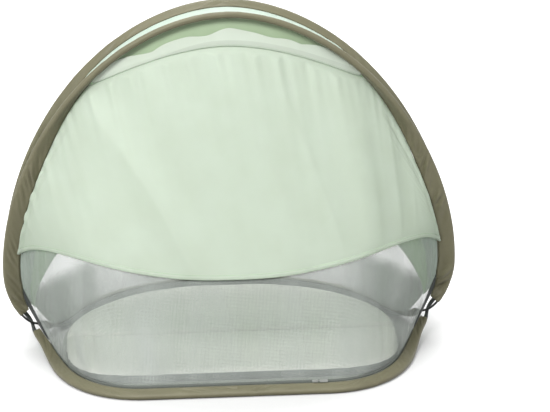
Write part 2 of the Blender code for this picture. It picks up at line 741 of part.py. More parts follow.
def object_from(name, group, work):
    mesh = bpy.data.meshes.new(name)
    work.to_mesh(mesh)
    work.free()
    item = bpy.data.objects.new(name, mesh)
    group.objects.link(item)
    return item


def combine(base, tool, operation):
    """Boolean of two plain objects; the tool goes into the cutters' collection."""
    step = base.modifiers.new(operation.title() + " " + tool.name, "BOOLEAN")
    step.operation = operation
    step.object = tool
    step.solver = "EXACT"
    tool.hide_render = True
    tool.display_type = "WIRE"


def build_slider(group, cutters, frame):
    """Slider plate with two ears and a pin, and the pull that turns on the pin."""
    plate_low = ZIP_THICKNESS / 2 + SLIDER_CLEAR
    plate_top = plate_low + SLIDER_PLATE
    pin_height = plate_top + EAR_HEIGHT - PIN_DIAMETER
    body = block("zip_slider", group, (SLIDER_LENGTH, SLIDER_WIDTH, SLIDER_PLATE),
                 (0, 0, plate_low + SLIDER_PLATE / 2), 0.0004)
    for hand in (-1, 1):
        ear = block(f"ear_{hand}", cutters, (EAR_LENGTH, EAR_THICKNESS, EAR_HEIGHT + SLIDER_PLATE / 2),
                    (0, hand * (EAR_SPACE + EAR_THICKNESS) / 2, plate_top + EAR_HEIGHT / 2 - SLIDER_PLATE / 4))
        ear.matrix_world = frame
        combine(body, ear, "UNION")
    pin = rod("pin", cutters, PIN_DIAMETER, EAR_SPACE + EAR_THICKNESS, (0, 0, pin_height))
    pin.matrix_world = frame
    combine(body, pin, "UNION")
    body.matrix_world = frame
    dress(body, "zinc", 0.35, 1.0)

    pin_frame = frame @ Matrix.Translation((0, 0, pin_height))
    pull = rod("zip_pull", group, KNUCKLE_DIAMETER, KNUCKLE_LENGTH, (0, 0, 0), 14)
    tab = block("tab", cutters, (PULL_LENGTH, NECK_WIDTH, PULL_THICKNESS),
                (PULL_LENGTH / 2, 0, 0))
    grip = block("grip", cutters, (GRIP_LENGTH, PULL_WIDTH, GRIP_THICKNESS), (GRIP_CENTRE, 0, 0), 0.0003)
    bore = rod("bore", cutters, KNUCKLE_BORE, KNUCKLE_LENGTH * 2, (0, 0, 0))
    for tool, operation in ((tab, "UNION"), (grip, "UNION"), (bore, "DIFFERENCE")):
        tool.matrix_world = pin_frame
        combine(pull, tool, operation)
    pull.matrix_world = pin_frame
    dress(pull, "zinc", 0.35, 1.0)
    return pin_frame


def hang_on(name, group, place, pieces):
    """Parent pieces to an empty on their joint's axis, without moving them."""
    axis = bpy.data.objects.new(name, None)
    axis.location = place
    group.objects.link(axis)
    bpy.context.view_layer.update()
    for piece in pieces:
        item = bpy.data.objects[piece]
        item.parent = axis
        item.matrix_parent_inverse = axis.matrix_world.inverted()


def build_rear(group, wall):
    def edge(u):
        share = np.clip(np.abs(u), 0, 1)
        return 1 - (REAR_CLOTH_SIDE + (REAR_CLOTH_MIDDLE - REAR_CLOTH_SIDE) * (1 - share ** 2))

    panel("rear_canopy", group, wall, stations(), lambda u: edge(u) + REAR_SEAM,
          lambda u: np.ones(len(u)), 4, "mint")
    panel("rear_net", group, wall, stations(), lambda u: np.zeros(len(u)),
          lambda u: edge(u) - REAR_SEAM, 3, "net")


def build_gusset(group, front, rear):
    """Roof cloth between the two arch seams, narrowing to both crossings."""
    across = stations()

    def rule(a, b):
        share = read_list(across, a) * DOOR_REACH
        near, far = front.seam(share, aside=-SHEET_APART), rear.seam(share, aside=-SHEET_APART)
        line = near * (1 - b)[:, None] + far * b[:, None]
        out = line * np.array([1.0, 0.0, 1.0]) - np.array([0.0, 0.0, ARCH_WIDEST_Z])
        out /= np.linalg.norm(out, axis=1, keepdims=True)
        width = np.linalg.norm(far - near, axis=1)
        return line + out * (GUSSET_BOW * width * np.sin(np.pi * b))[:, None]
    item = grid_object("roof_gusset", group, rule, len(across) - 1, 3, CLOTH)
    flip_if_inward(item, (0.0, 0.0, 0.2))
    return dress(item, "mint")


def plan(side, inset, a, b):
    """Place inside the base outline: a across, b from the middle crease to the outer edge."""
    inner = BASE_SHAPES[side][0] - inset
    depth = HINGE_GAP + (inner - HINGE_GAP) * b
    half = base_outline(side, depth * BASE_SHAPES[side][0] / inner) - inset
    return (2 * a - 1) * half, side * depth


def build_floor(group, side):
    where = "front" if side == FRONT else "rear"

    def rule(a, b):
        x, y = plan(side, FLOOR_INSET, a, np.sin(b * math.pi / 2))
        return np.stack([x, y, np.full(len(x), FLOOR_THICKNESS / 2)], 1)
    item = grid_object(f"{where}_floor", group, rule, FLOOR_ACROSS, PLAN_DOWN, FLOOR_THICKNESS)
    flip_if_inward(item, (0, 0, -1.0))
    return dress(item, "floor")


def build_pad(group, side):
    """Half of the folding mattress: crowned top, drawn-in edge, flat underside."""
    where = "front" if side == FRONT else "rear"

    def profile(a, b, top):
        a, b = bunched(a, 1.0), bunched(b, 1.0)
        x, y = plan(side, PAD_INSET, a, b)
        rim = np.minimum(np.minimum(a, 1 - a) * 2 / PAD_SIDE_RIM, np.minimum(b, 1 - b) / PAD_END_RIM)
        rise = np.sqrt(np.clip(1 - (1 - np.clip(rim, 0, 1)) ** 2, 0, 1))
        low = FLOOR_THICKNESS + GAP
        middle = low + PAD_THICKNESS * PAD_SEAM_HEIGHT
        if top:
            high = low + PAD_THICKNESS - PAD_CROWN
            swell = PAD_CROWN * np.sin(np.pi * a) * np.sin(np.pi * b)
            z = middle + (high - middle) * rise + swell
        else:
            z = middle - (middle - low) * np.clip(rise * PAD_UNDER_ROUNDING, 0, 1)
        return np.stack([x, y, z], 1)

    upper = grid_object(f"{where}_pad", group, lambda a, b: profile(a, b, True),
                        PAD_ACROSS, PLAN_DOWN)
    lower = grid_object(f"{where}_pad_under", group, lambda a, b: profile(a, b, False),
                        PAD_ACROSS, PLAN_DOWN)
    item = join(f"{where}_pad", [upper, lower])
    work = bmesh.new()
    work.from_mesh(item.data)
    bmesh.ops.remove_doubles(work, verts=work.verts, dist=1e-6)
    bmesh.ops.recalc_face_normals(work, faces=work.faces)
    work.to_mesh(item.data)
    work.free()
    return dress(item, "pad")


def build_kerb(group, base):
    """Cloth upstand from the floor's edge to the base seam."""
    where = "front" if base.side == FRONT else "rear"
    reach = base.share_before_end(KERB_END)

    def rule(a, b):
        share = (2 * a - 1) * reach
        head = base.seam(share, clear=-SLEEVE_SEAM) + np.array([0, 0, -(SLEEVE_SEAM * 2 + GAP)])
        foot = base.at(share)
        direction = head - foot
        direction[:, 2] = 0
        direction /= np.linalg.norm(direction, axis=1, keepdims=True)
        foot = foot + direction * (FLOOR_INSET - CLOTH * 1.4)
        foot[:, 2] = KERB_FOOT_Z
        return foot * (1 - b)[:, None] + head * b[:, None]
    item = grid_object(f"{where}_kerb", group, rule, KERB_ACROSS, 1, CLOTH)
    flip_if_inward(item, (0, 0, 0.02))
    return dress(item, "floor")


def main():
    clear_scene()
    group = new_collection("baby_travel_tent")
    cutters = new_collection("cutters")
    hoops = {(kind, side): Hoop(kind, side) for kind in ("arch", "base") for side in (FRONT, REAR)}
    build_wires(group, hoops)
    build_sleeves(group, hoops)
    build_covers(group, hoops)
    build_ferrules(group, hoops)
    front_wall = Wall(hoops["arch", FRONT], hoops["base", FRONT])
    rear_wall = Wall(hoops["arch", REAR], hoops["base", REAR])
    build_front(group, front_wall)
    build_rear(group, rear_wall)
    build_gusset(group, hoops["arch", FRONT], hoops["arch", REAR])
    for side in (FRONT, REAR):
        build_floor(group, side)
        build_pad(group, side)
        build_kerb(group, hoops["base", side])
    build_bindings(group, front_wall)
    build_zip(group, front_wall)
    pin_frame = build_slider(group, cutters, zip_frame(front_wall))
    middle = np.zeros(1)
    crown = front_wall.point(middle, top_seam(front_wall, middle))[0]
    shade_crown = crown + front_wall.normal(middle, top_seam(front_wall, middle))[0] * SHEET_STEP
    hang_on("half_fold_axis", group, (0, 0, CROSS_Z),
            ["front_arch_wire", "front_base_wire", "front_arch_sleeve", "front_base_sleeve",
             "front_wire_cover_left", "front_wire_cover_right", "front_ferrule", "valance",
             "header_band", "front_floor", "front_pad", "front_kerb", "zip_chain"])
    hang_on("door_lift_axis", group, crown, ["door_net", "door_binding_left", "door_binding_right"])
    hang_on("shade_lift_axis", group, shade_crown, ["sun_shade", "shade_hem"])
    for item in [*group.objects, *cutters.objects]:
        if item.parent is None:
            item.location.y += CROSS_Y
    bpy.context.view_layer.update()
    crown[1] += CROSS_Y
    shade_crown[1] += CROSS_Y
    pin_frame.translation.y += CROSS_Y
    print("half fold axis", (0, CROSS_Y, CROSS_Z))
    print("door axis", np.round(crown, 5), "shade axis", np.round(shade_crown, 5))
    print("pull axis", [round(value, 5) for value in pin_frame.translation],
          [round(value, 5) for value in pin_frame.col[1][:3]])


main()
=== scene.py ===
"""Dressed model of a baby travel tent on two crossed spring-steel loops.

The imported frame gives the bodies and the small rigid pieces. This script makes every soft surface
over it: olive sleeves, mint cloth, netting, webbing, floor and mattress, and then the studio.

Frame: metres, +Z up, +X to the right, the door faces -Y.
"""
from __future__ import annotations

import json
import logging
import math
from dataclasses import dataclass
from enum import Enum
from typing import Callable, Sequence

import bmesh
import bpy
import numpy as np
from mathutils import Matrix, Vector

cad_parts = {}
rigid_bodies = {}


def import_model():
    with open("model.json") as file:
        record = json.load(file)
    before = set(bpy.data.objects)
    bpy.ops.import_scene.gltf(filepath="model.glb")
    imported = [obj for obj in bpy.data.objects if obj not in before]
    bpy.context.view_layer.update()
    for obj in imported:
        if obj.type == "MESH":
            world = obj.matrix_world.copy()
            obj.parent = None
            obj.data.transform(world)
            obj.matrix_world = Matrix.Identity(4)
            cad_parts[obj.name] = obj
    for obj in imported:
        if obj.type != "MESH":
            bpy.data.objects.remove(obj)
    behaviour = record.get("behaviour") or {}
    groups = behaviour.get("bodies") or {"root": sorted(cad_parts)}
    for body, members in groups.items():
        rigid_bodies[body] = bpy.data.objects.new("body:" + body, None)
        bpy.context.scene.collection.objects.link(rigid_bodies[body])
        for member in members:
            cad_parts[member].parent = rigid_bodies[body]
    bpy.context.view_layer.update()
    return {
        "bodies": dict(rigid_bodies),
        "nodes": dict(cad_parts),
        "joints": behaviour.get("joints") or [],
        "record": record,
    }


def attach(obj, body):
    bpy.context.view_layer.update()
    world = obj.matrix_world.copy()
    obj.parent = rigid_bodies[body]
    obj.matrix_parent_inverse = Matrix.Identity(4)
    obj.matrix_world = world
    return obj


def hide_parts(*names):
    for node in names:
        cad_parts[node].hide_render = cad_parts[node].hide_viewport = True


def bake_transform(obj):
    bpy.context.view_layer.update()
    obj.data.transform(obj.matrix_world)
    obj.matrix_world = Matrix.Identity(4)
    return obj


log = logging.getLogger("travel_tent")
Array = np.ndarray


class Side(Enum):
    """Which half of the tent a piece belongs to; the value is the sign of Y."""

    FRONT = -1
    REAR = 1

    @property
    def body(self) -> str:
        """Name of the frame's body for this half."""
        return "front_half" if self is Side.FRONT else "rear_half"

    @property
    def label(self) -> str:
        """Word used in piece and node names."""
        return "front" if self is Side.FRONT else "rear"


class Kind(Enum):
    """The two sorts of half hoop."""

    ARCH = "arch"
    BASE = "base"


class Held(Enum):
    """How a sheet of cloth is held."""

    STRETCHED = "stretched"
    HUNG = "hung"
    LAID = "laid"


# Curves and surfaces


def smoothstep(value: Array, low: float, high: float) -> Array:
    """Share 3t^2 - 2t^3, where t runs from 0 at low to 1 at high."""
    share = np.clip((value - low) / (high - low), 0.0, 1.0)
    return share * share * (3 - 2 * share)


def unit(vectors: Array) -> Array:
    """Each vector divided by its length."""
    return vectors / np.maximum(np.linalg.norm(vectors, axis=-1, keepdims=True), 1e-12)


def square_to(vectors: Array, along: Array) -> Array:
    """Unit vectors left when the part of each that lies along a direction is taken off."""
    return unit(vectors - (vectors * along).sum(-1, keepdims=True) * along)


@dataclass(frozen=True)
class BaseShape:
    """Outline of half the base: depth from the crossing plane, straight run, corner exponent."""

    depth: float
    straight: float
    roundness: float


@dataclass(frozen=True)
class TentSizes:
    """Sizes that the solids were built with, in metres.

    All formulas work about the plane where the loops cross; cross_y moves them into the frame.
    """

    cross_y: float = -0.025

    wire_radius: float = 0.00225
    arch_half_width: float = 0.4408
    arch_widest_z: float = 0.160
    arch_top_z: float = 0.674
    arch_top_y: float = 0.064
    arch_roundness: float = 1.86
    arch_lean_power: float = 2.3
    arch_low_angle: float = math.radians(60.0)
    base_half_width: float = 0.362
    front_base: BaseShape = BaseShape(0.305, 0.165, 2.25)
    rear_base: BaseShape = BaseShape(0.355, 0.050, 2.0)
    base_rise_length: float = 0.140
    cross_half_width: float = 0.390
    cross_z: float = 0.046
    cross_blend: float = 0.070
    bend_pull: float = 1.1
    heading_inner: tuple[float, float, float] = (-0.72, 0.75, -0.40)
    heading_outer: tuple[float, float, float] = (-0.20, 0.75, -0.62)
    cover_radius: float = 0.0041
    hinge_gap: float = 0.0006
    sleeve_wall: float = 0.0007
    sleeve_bulge: float = 0.0050
    sleeve_top_bulge: float = 0.0062
    sleeve_seam: float = 0.0017
    side_sleeve_width: float = 0.0350
    top_sleeve_width: float = 0.0250
    low_sleeve_width: float = 0.0260
    base_sleeve_width: float = 0.0270
    base_end_width: float = 0.0190
    sleeve_roll: float = math.radians(62.0)
    crown_heights: tuple[float, float] = (0.34, 0.60)
    base_fold_tilt: float = math.radians(24.0)
    arch_sleeve_end: float = 0.036
    base_sleeve_end: float = 0.016
    ferrule_radius: float = 0.0031
    gap: float = 0.0003
    sleeve_clear: float = 0.0006
    panel_edge: float = 0.0009
    sheet_apart: float = 0.0008
    door_reach: float = 0.945
    header_corner: float = 0.365
    header_drop: float = 0.054
    header_power: float = 0.8
    hem_corner: float = 0.840
    hem_level: float = 0.285
    hem_power: float = 2.15
    hem_turn: float = 0.14
    hem_turn_power: float = 8.0
    floor_inset: float = 0.0260
    pad_inset: float = 0.044
    pad_low: float = 0.0019
    pad_top: float = 0.0239
    zip_width: float = 0.0056

    def base(self, side: Side) -> BaseShape:
        """Outline of the base on this side."""
        return self.front_base if side is Side.FRONT else self.rear_base

    def crown(self, height: Array) -> Array:
        """Share by which an arch's sleeve is the roof's kind at a height, not the sides' kind."""
        return smoothstep(height, *self.crown_heights)


SIZES = TentSizes()


class HoopCurve:
    """Half a spring-wire loop, read at shares of its length: -1 left end, 0 middle, 1 right end."""

    def __init__(self, kind: Kind, side: Side, sizes: TentSizes = SIZES) -> None:
        """Work out the wire's middle line.

        Args:
            kind: Arch over the roof, or base round the floor.
            side: Front or rear half.
            sizes: Driving sizes.
        """
        self.kind, self.side, self.sizes = kind, side, sizes
        right = self._run_in(self._arch() if kind is Kind.ARCH else self._base())
        left = right[::-1] * np.array([-1.0, 1.0, 1.0])
        self.points = np.concatenate([left[:-1], right])
        steps = np.linalg.norm(np.diff(self.points, axis=0), axis=1)
        self.run = np.concatenate([[0.0], np.cumsum(steps)])
        self.length = float(self.run[-1])

    def _arch(self, count: int = 700) -> Array:
        """Right half of an arch: a superellipse above its widest point, an ellipse below it.

        The lean y = top_y * (1 - (1 - climb)^power) parts the two arches as they climb.
        """
        s = self.sizes
        theta = np.linspace(math.pi / 2, -s.arch_low_angle, count)
        power = 2 / s.arch_roundness
        cosine, sine = np.cos(theta), np.sin(theta)
        low_width = (s.arch_half_width - s.cross_half_width) / (1 - math.cos(s.arch_low_angle))
        low_height = (s.arch_widest_z - s.cross_z) / math.sin(s.arch_low_angle)
        x = np.where(theta > 0, s.arch_half_width * np.abs(cosine) ** power,
                     s.arch_half_width - low_width * (1 - cosine))
        z = np.where(theta > 0, s.arch_widest_z + (s.arch_top_z - s.arch_widest_z) * np.abs(sine) ** power,
                     s.arch_widest_z + low_height * sine)
        climb = np.clip((z - s.cross_z) / (s.arch_top_z - s.cross_z), 0, 1)
        y = self.side.value * s.arch_top_y * (1 - (1 - climb) ** s.arch_lean_power)
        return np.stack([x, y, z], 1)

    def _base(self, count: int = 700) -> Array:
        """Right half of a base: a straight run, a superellipse corner and a climb to the crossing."""
        s = self.sizes
        shape = s.base(self.side)
        angle = np.linspace(math.pi / 2, 0, count)
        power = 2 / shape.roundness
        corner = np.abs(np.cos(angle)) ** power
        x = shape.straight + (s.base_half_width - shape.straight) * corner
        y = self.side.value * shape.depth * np.abs(np.sin(angle)) ** power
        straight = np.linspace(0, shape.straight, count // 2, endpoint=False)
        x = np.concatenate([straight, x])
        y = np.concatenate([np.full(len(straight), self.side.value * shape.depth), y])
        lift = (1 - np.clip(np.abs(y) / s.base_rise_length, 0, 1)) ** 2
        low = s.sleeve_bulge + s.gap
        return np.stack([x + (s.cross_half_width - s.base_half_width) * lift, y,
                         low + (s.cross_z - low) * lift], 1)

    def _run_in(self, half: Array, count: int = 80) -> Array:
        """Swing the curve's last stretch through the crossing by a cubic Hermite bend."""
        s = self.sizes
        inner_loop = (self.kind is Kind.ARCH) == (self.side is Side.FRONT)
        apart = (s.wire_radius + s.cover_radius + s.gap) / 2
        inward = np.array([-math.sqrt(0.5), 0.0, math.sqrt(0.5)])
        goal = np.array([s.cross_half_width, 0.0, s.cross_z]) + (apart if inner_loop else -apart) * inward
        down = np.array(s.heading_inner if inner_loop else s.heading_outer)
        along = 1 if self.kind is Kind.ARCH else -1
        heading = down * np.array([along, -self.side.value, along])
        far = np.linalg.norm(half - goal, axis=1) > s.cross_blend
        kept = half[:int(np.argmin(far))]
        start, reach = kept[-1], float(np.linalg.norm(goal - kept[-1]))
        leave = unit(kept[-1] - kept[-2]) * reach * s.bend_pull
        arrive = unit(heading) * reach * s.bend_pull
        t = np.linspace(0, 1, count)[1:, None]
        bend = ((2 * t**3 - 3 * t**2 + 1) * start + (t**3 - 2 * t**2 + t) * leave
                + (3 * t**2 - 2 * t**3) * goal + (t**3 - t**2) * arrive)
        return np.concatenate([kept, bend])

    def at(self, share: Array) -> Array:
        """Point at a share of the length."""
        place = (np.asarray(share, float) + 1) / 2 * self.length
        return np.stack([np.interp(place, self.run, self.points[:, i]) for i in range(3)], -1)

    def tangent(self, share: Array) -> Array:
        """Unit vector along the wire, from a difference over a few millimetres."""
        share = np.asarray(share, float)
        return unit(self.at(np.clip(share + 0.006, -1, 1)) - self.at(np.clip(share - 0.006, -1, 1)))

    def end_share(self, distance: float) -> float:
        """Share at a distance before the right end."""
        return 1 - 2 * distance / self.length

    @property
    def sleeve_end(self) -> float:
        """Share where the sleeve stops and the wire is bare."""
        s = self.sizes
        return self.end_share(s.arch_sleeve_end if self.kind is Kind.ARCH else s.base_sleeve_end)

    def fold(self, share: Array) -> Array:
        """Unit vector from the wire to the sewn edge of its sleeve, square to the wire.

        It points to the middle of the opening, and rolls towards the roof at the crown.
        """
        s, sign = self.sizes, self.side.value
        point, along = self.at(share), self.tangent(share)
        if self.kind is Kind.ARCH:
            centre = np.array([0.0, 0.0, s.arch_widest_z + 0.10])
            inward = square_to((centre - point) * np.array([1.0, 0.0, 1.0]), along)
            roll = s.sleeve_roll * s.crown(point[..., 2:3])
            across = square_to(np.array([0.0, -sign, 0.0]), along)
            return unit(inward * np.cos(roll) + across * np.sin(roll))
        centre = np.array([0.0, sign * 0.06, 0.0])
        inward = square_to((centre - point) * np.array([0.55, 1.0, 0.0]), along)
        fold = inward * math.cos(s.base_fold_tilt) + np.array([0.0, 0.0, math.sin(s.base_fold_tilt)])
        return square_to(fold, along)

    def width(self, share: Array) -> Array:
        """Sleeve width from its rounded edge to its sewn edge."""
        s, share = self.sizes, np.abs(np.asarray(share, float))
        if self.kind is Kind.ARCH:
            z = self.at(share)[..., 2]
            foot = 1 - smoothstep(z, s.cross_z + 0.02, s.cross_z + 0.09)
            wide = s.side_sleeve_width + (s.top_sleeve_width - s.side_sleeve_width) * s.crown(z)
            return wide + (s.low_sleeve_width - s.side_sleeve_width) * foot
        near = 1 - smoothstep(np.abs(self.at(share)[..., 1]), 0.02, 0.16)
        return s.base_sleeve_width + (s.base_end_width - s.base_sleeve_width) * near

    def bulge(self, share: Array) -> Array:
        """Half thickness of the sleeve over the wire."""
        s = self.sizes
        if self.kind is Kind.BASE:
            return np.full(np.shape(share), s.sleeve_bulge)
        crown = s.crown(self.at(share)[..., 2])
        return s.sleeve_bulge + (s.sleeve_top_bulge - s.sleeve_bulge) * crown

    def seat(self, share: Array) -> Array:
        """How far the fold is drawn inwards, so that its outer side bears on the wire."""
        s = self.sizes
        inside = s.wire_radius if self.kind is Kind.ARCH else s.ferrule_radius
        return self.bulge(share) - s.sleeve_wall - inside - s.sleeve_clear

    def outward(self, share: Array) -> Array:
        """Unit vector across the fold, towards the outside of the wall that it holds."""
        return self.side.value * np.cross(self.tangent(share), self.fold(share))

    def seam(self, share: Array, aside: float = 0.0) -> Array:
        """Line just past the sewn edge, where the sheets are held."""
        reach = self.width(share) - self.bulge(share) + self.sizes.panel_edge
        return self.at(share) + self.fold(share) * reach[..., None] + self.outward(share) * aside


class WallSurface:
    """Ruled surface from the base seam (v = 0) up to the arch seam (v = 1); u runs -1 to 1 across."""

    def __init__(self, arch: HoopCurve, base: HoopCurve) -> None:
        """Keep the two hoops that hold the wall."""
        self.arch, self.base, self.side, self.sizes = arch, base, arch.side, arch.sizes

    def ends(self, u: Array) -> tuple[Array, Array]:
        """Foot and head of the ruling at u."""
        share = np.asarray(u) * self.sizes.door_reach
        return self.base.seam(share), self.arch.seam(share, self.sizes.sheet_apart)

    def height(self, u: Array) -> Array:
        """Length of the ruling at u."""
        foot, head = self.ends(u)
        return np.linalg.norm(head - foot, axis=-1)

    def point(self, u: Array, v: Array) -> Array:
        """Place at u across and v up: foot * (1 - v) + head * v."""
        foot, head = self.ends(u)
        return foot * (1 - v)[..., None] + head * v[..., None]

    def normal(self, u: Array, v: Array) -> Array:
        """Outward unit normal, from differences across and up."""
        step = 0.006
        across = self.point(np.clip(u + step, -1, 1), v) - self.point(np.clip(u - step, -1, 1), v)
        up = self.point(u, v + step) - self.point(u, v - step)
        return unit(np.cross(across, up)) * (1 if self.side is Side.FRONT else -1)

    def off(self, u: Array, v: Array, lift: Array) -> Array:
        """Place lifted outwards off the wall."""
        return self.point(u, v) + self.normal(u, v) * np.asarray(lift)[..., None]

    def header_drop(self, u: Array) -> Array:
        """Depth of the door's top seam under the arch: deep in the middle, none past the corners."""
        share = np.clip(np.abs(u) / self.sizes.header_corner, 0, 1)
        return self.sizes.header_drop * (1 - share ** 2) ** self.sizes.header_power

    def top_seam(self, u: Array) -> Array:
        """The door's top seam as a share of the way up."""
        return 1 - self.header_drop(u) / self.height(u)

    def hem(self, u: Array) -> Array:
        """The sun shade's hem as a share of the way up: low in the middle, up to the arch at its ends."""
        s = self.sizes
        share = np.abs(u) / s.hem_corner
        rise = (1 - s.hem_turn) * share ** s.hem_power + s.hem_turn * share ** s.hem_turn_power
        return s.hem_level + (1 - s.hem_level) * rise


# Meshes


def quad_mesh(name: str, points: Array, faces: Array) -> bpy.types.Object:
    """Object from points about the crossing plane and faces of four corners.

    Args:
        name: Name of the piece.
        points: Places, (count, 3); cross_y is added here.
        faces: Corner numbers, (count, 4).

    Returns:
        The new object, at the origin.
    """
    mesh = bpy.data.meshes.new(name)
    mesh.from_pydata((points + np.array([0.0, SIZES.cross_y, 0.0])).tolist(), [], faces.tolist())
    mesh.shade_smooth()
    piece = bpy.data.objects.new(name, mesh)
    bpy.context.scene.collection.objects.link(piece)
    return piece


def grid_piece(name: str, points: Array, inside: Array, maps: dict[str, Array], wrap: bool = False,
               thickness: float = 0.0, offset: float = 0.0) -> bpy.types.Object:
    """Quad mesh over a grid of points, facing away from the inside.

    Args:
        name: Name of the piece.
        points: Places, (rows, columns, 3).
        inside: A point, or a point for each row, that lies behind the faces.
        maps: UV maps in metres, (rows, columns, 2), with one more column where the grid wraps.
        wrap: Whether the last column joins the first.
        thickness: Wall thickness for a Solidify modifier, or 0 for none.
        offset: Solidify offset, -1 inwards to 1 outwards.

    Returns:
        The new object, at the origin.
    """
    rows, columns = points.shape[:2]
    across = columns if wrap else columns - 1
    r, c = np.meshgrid(np.arange(rows - 1), np.arange(across), indexing="ij")
    r, c = r.ravel(), c.ravel()
    corners = [(r, c), (r, c + 1), (r + 1, c + 1), (r + 1, c)]
    faces = np.stack([row * columns + column % columns for row, column in corners], 1)
    flat = points.reshape(-1, 3)
    normal = np.cross(flat[faces[:, 1]] - flat[faces[:, 0]], flat[faces[:, 3]] - flat[faces[:, 0]])
    behind = np.broadcast_to(inside if inside.ndim == 1 else inside[r], normal.shape)
    if np.sum(normal * (flat[faces[:, 0]] - behind)) < 0:
        faces, corners = faces[:, ::-1], corners[::-1]
    piece = quad_mesh(name, flat, faces)
    for label, values in maps.items():
        layer = piece.data.uv_layers.new(name=label)
        loops = np.stack([values[row, column] for row, column in corners], 1)
        layer.data.foreach_set("uv", loops.astype(np.float32).ravel())
    if thickness:
        wall = piece.modifiers.new("Cloth thickness", "SOLIDIFY")
        wall.thickness, wall.offset = thickness, offset
    return piece


def cloth_maps(points: Array, edge: Array | None = None) -> dict[str, Array]:
    """UV maps in metres: "cloth" follows the weave, "edge" holds the run and the distance from a hem.

    Args:
        points: Places of the sheet, (rows, columns, 3).
        edge: Distance from the stitched edge at each point, or None for the last row's.
    """
    across = np.linalg.norm(np.diff(points, axis=1), axis=2)
    up = np.linalg.norm(np.diff(points, axis=0), axis=2)
    run = np.concatenate([np.zeros((len(points), 1)), np.cumsum(across, axis=1)], 1)
    run -= run[:, -1:] / 2
    climb = np.concatenate([np.zeros((1, points.shape[1])), np.cumsum(up, axis=0)], 0)
    if edge is None:
        edge = climb[-1:] - climb
    return {"cloth": np.stack([run, climb], -1), "edge": np.stack([run, edge], -1)}


def seat_on(piece: bpy.types.Object, body: str, nodes: Sequence[str] = (),
            material: bpy.types.Material | None = None) -> None:
    """Dress a piece, let it ride on its body and stand for CAD nodes."""
    if material:
        piece.data.materials.append(material)
    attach(piece, body)
    if nodes:
        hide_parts(*nodes)
    log.info("%s rides on %s", piece.name, body)


def sew(name: str, points: Array, inside: Array, maps: dict[str, Array], thickness: float,
        seat: tuple[str, str, str, bpy.types.Material]) -> None:
    """Make a sheet from its grid and seat it.

    Args:
        name: Name of the piece.
        points: Its middle surface, (rows, columns, 3).
        inside: A point behind it.
        maps: Its UV maps in metres.
        thickness: Cloth thickness.
        seat: Its body, the CAD node that it stands for, its slot and its material.
    """
    piece = grid_piece(name, points, inside, maps, thickness=thickness)
    body, node_name, slot, material = seat
    seat_on(piece, body, [node_name], material)


def clean(piece: bpy.types.Object) -> None:
    """Merge doubled points and turn every face outwards."""
    work = bmesh.new()
    work.from_mesh(piece.data)
    bmesh.ops.remove_doubles(work, verts=work.verts, dist=1e-5)
    bmesh.ops.recalc_face_normals(work, faces=work.faces)
    work.to_mesh(piece.data)
    work.free()
    piece.data.shade_smooth()


def waves(u: Array, *terms: tuple[float, float, float]) -> Array:
    """Sum of sines: amplitude * sin(2 pi * rate * u + phase) for each (amplitude, rate, phase)."""
    return sum(a * np.sin(2 * math.pi * rate * u + phase) for a, rate, phase in terms)


# Finishes


def srgb(code: str) -> tuple[float, float, float, float]:
    """Linear colour from an sRGB hex code."""
    parts = [int(code[i:i + 2], 16) / 255 for i in (1, 3, 5)]
    linear = [c / 12.92 if c <= 0.04045 else ((c + 0.055) / 1.055) ** 2.4 for c in parts]
    return (*linear, 1.0)


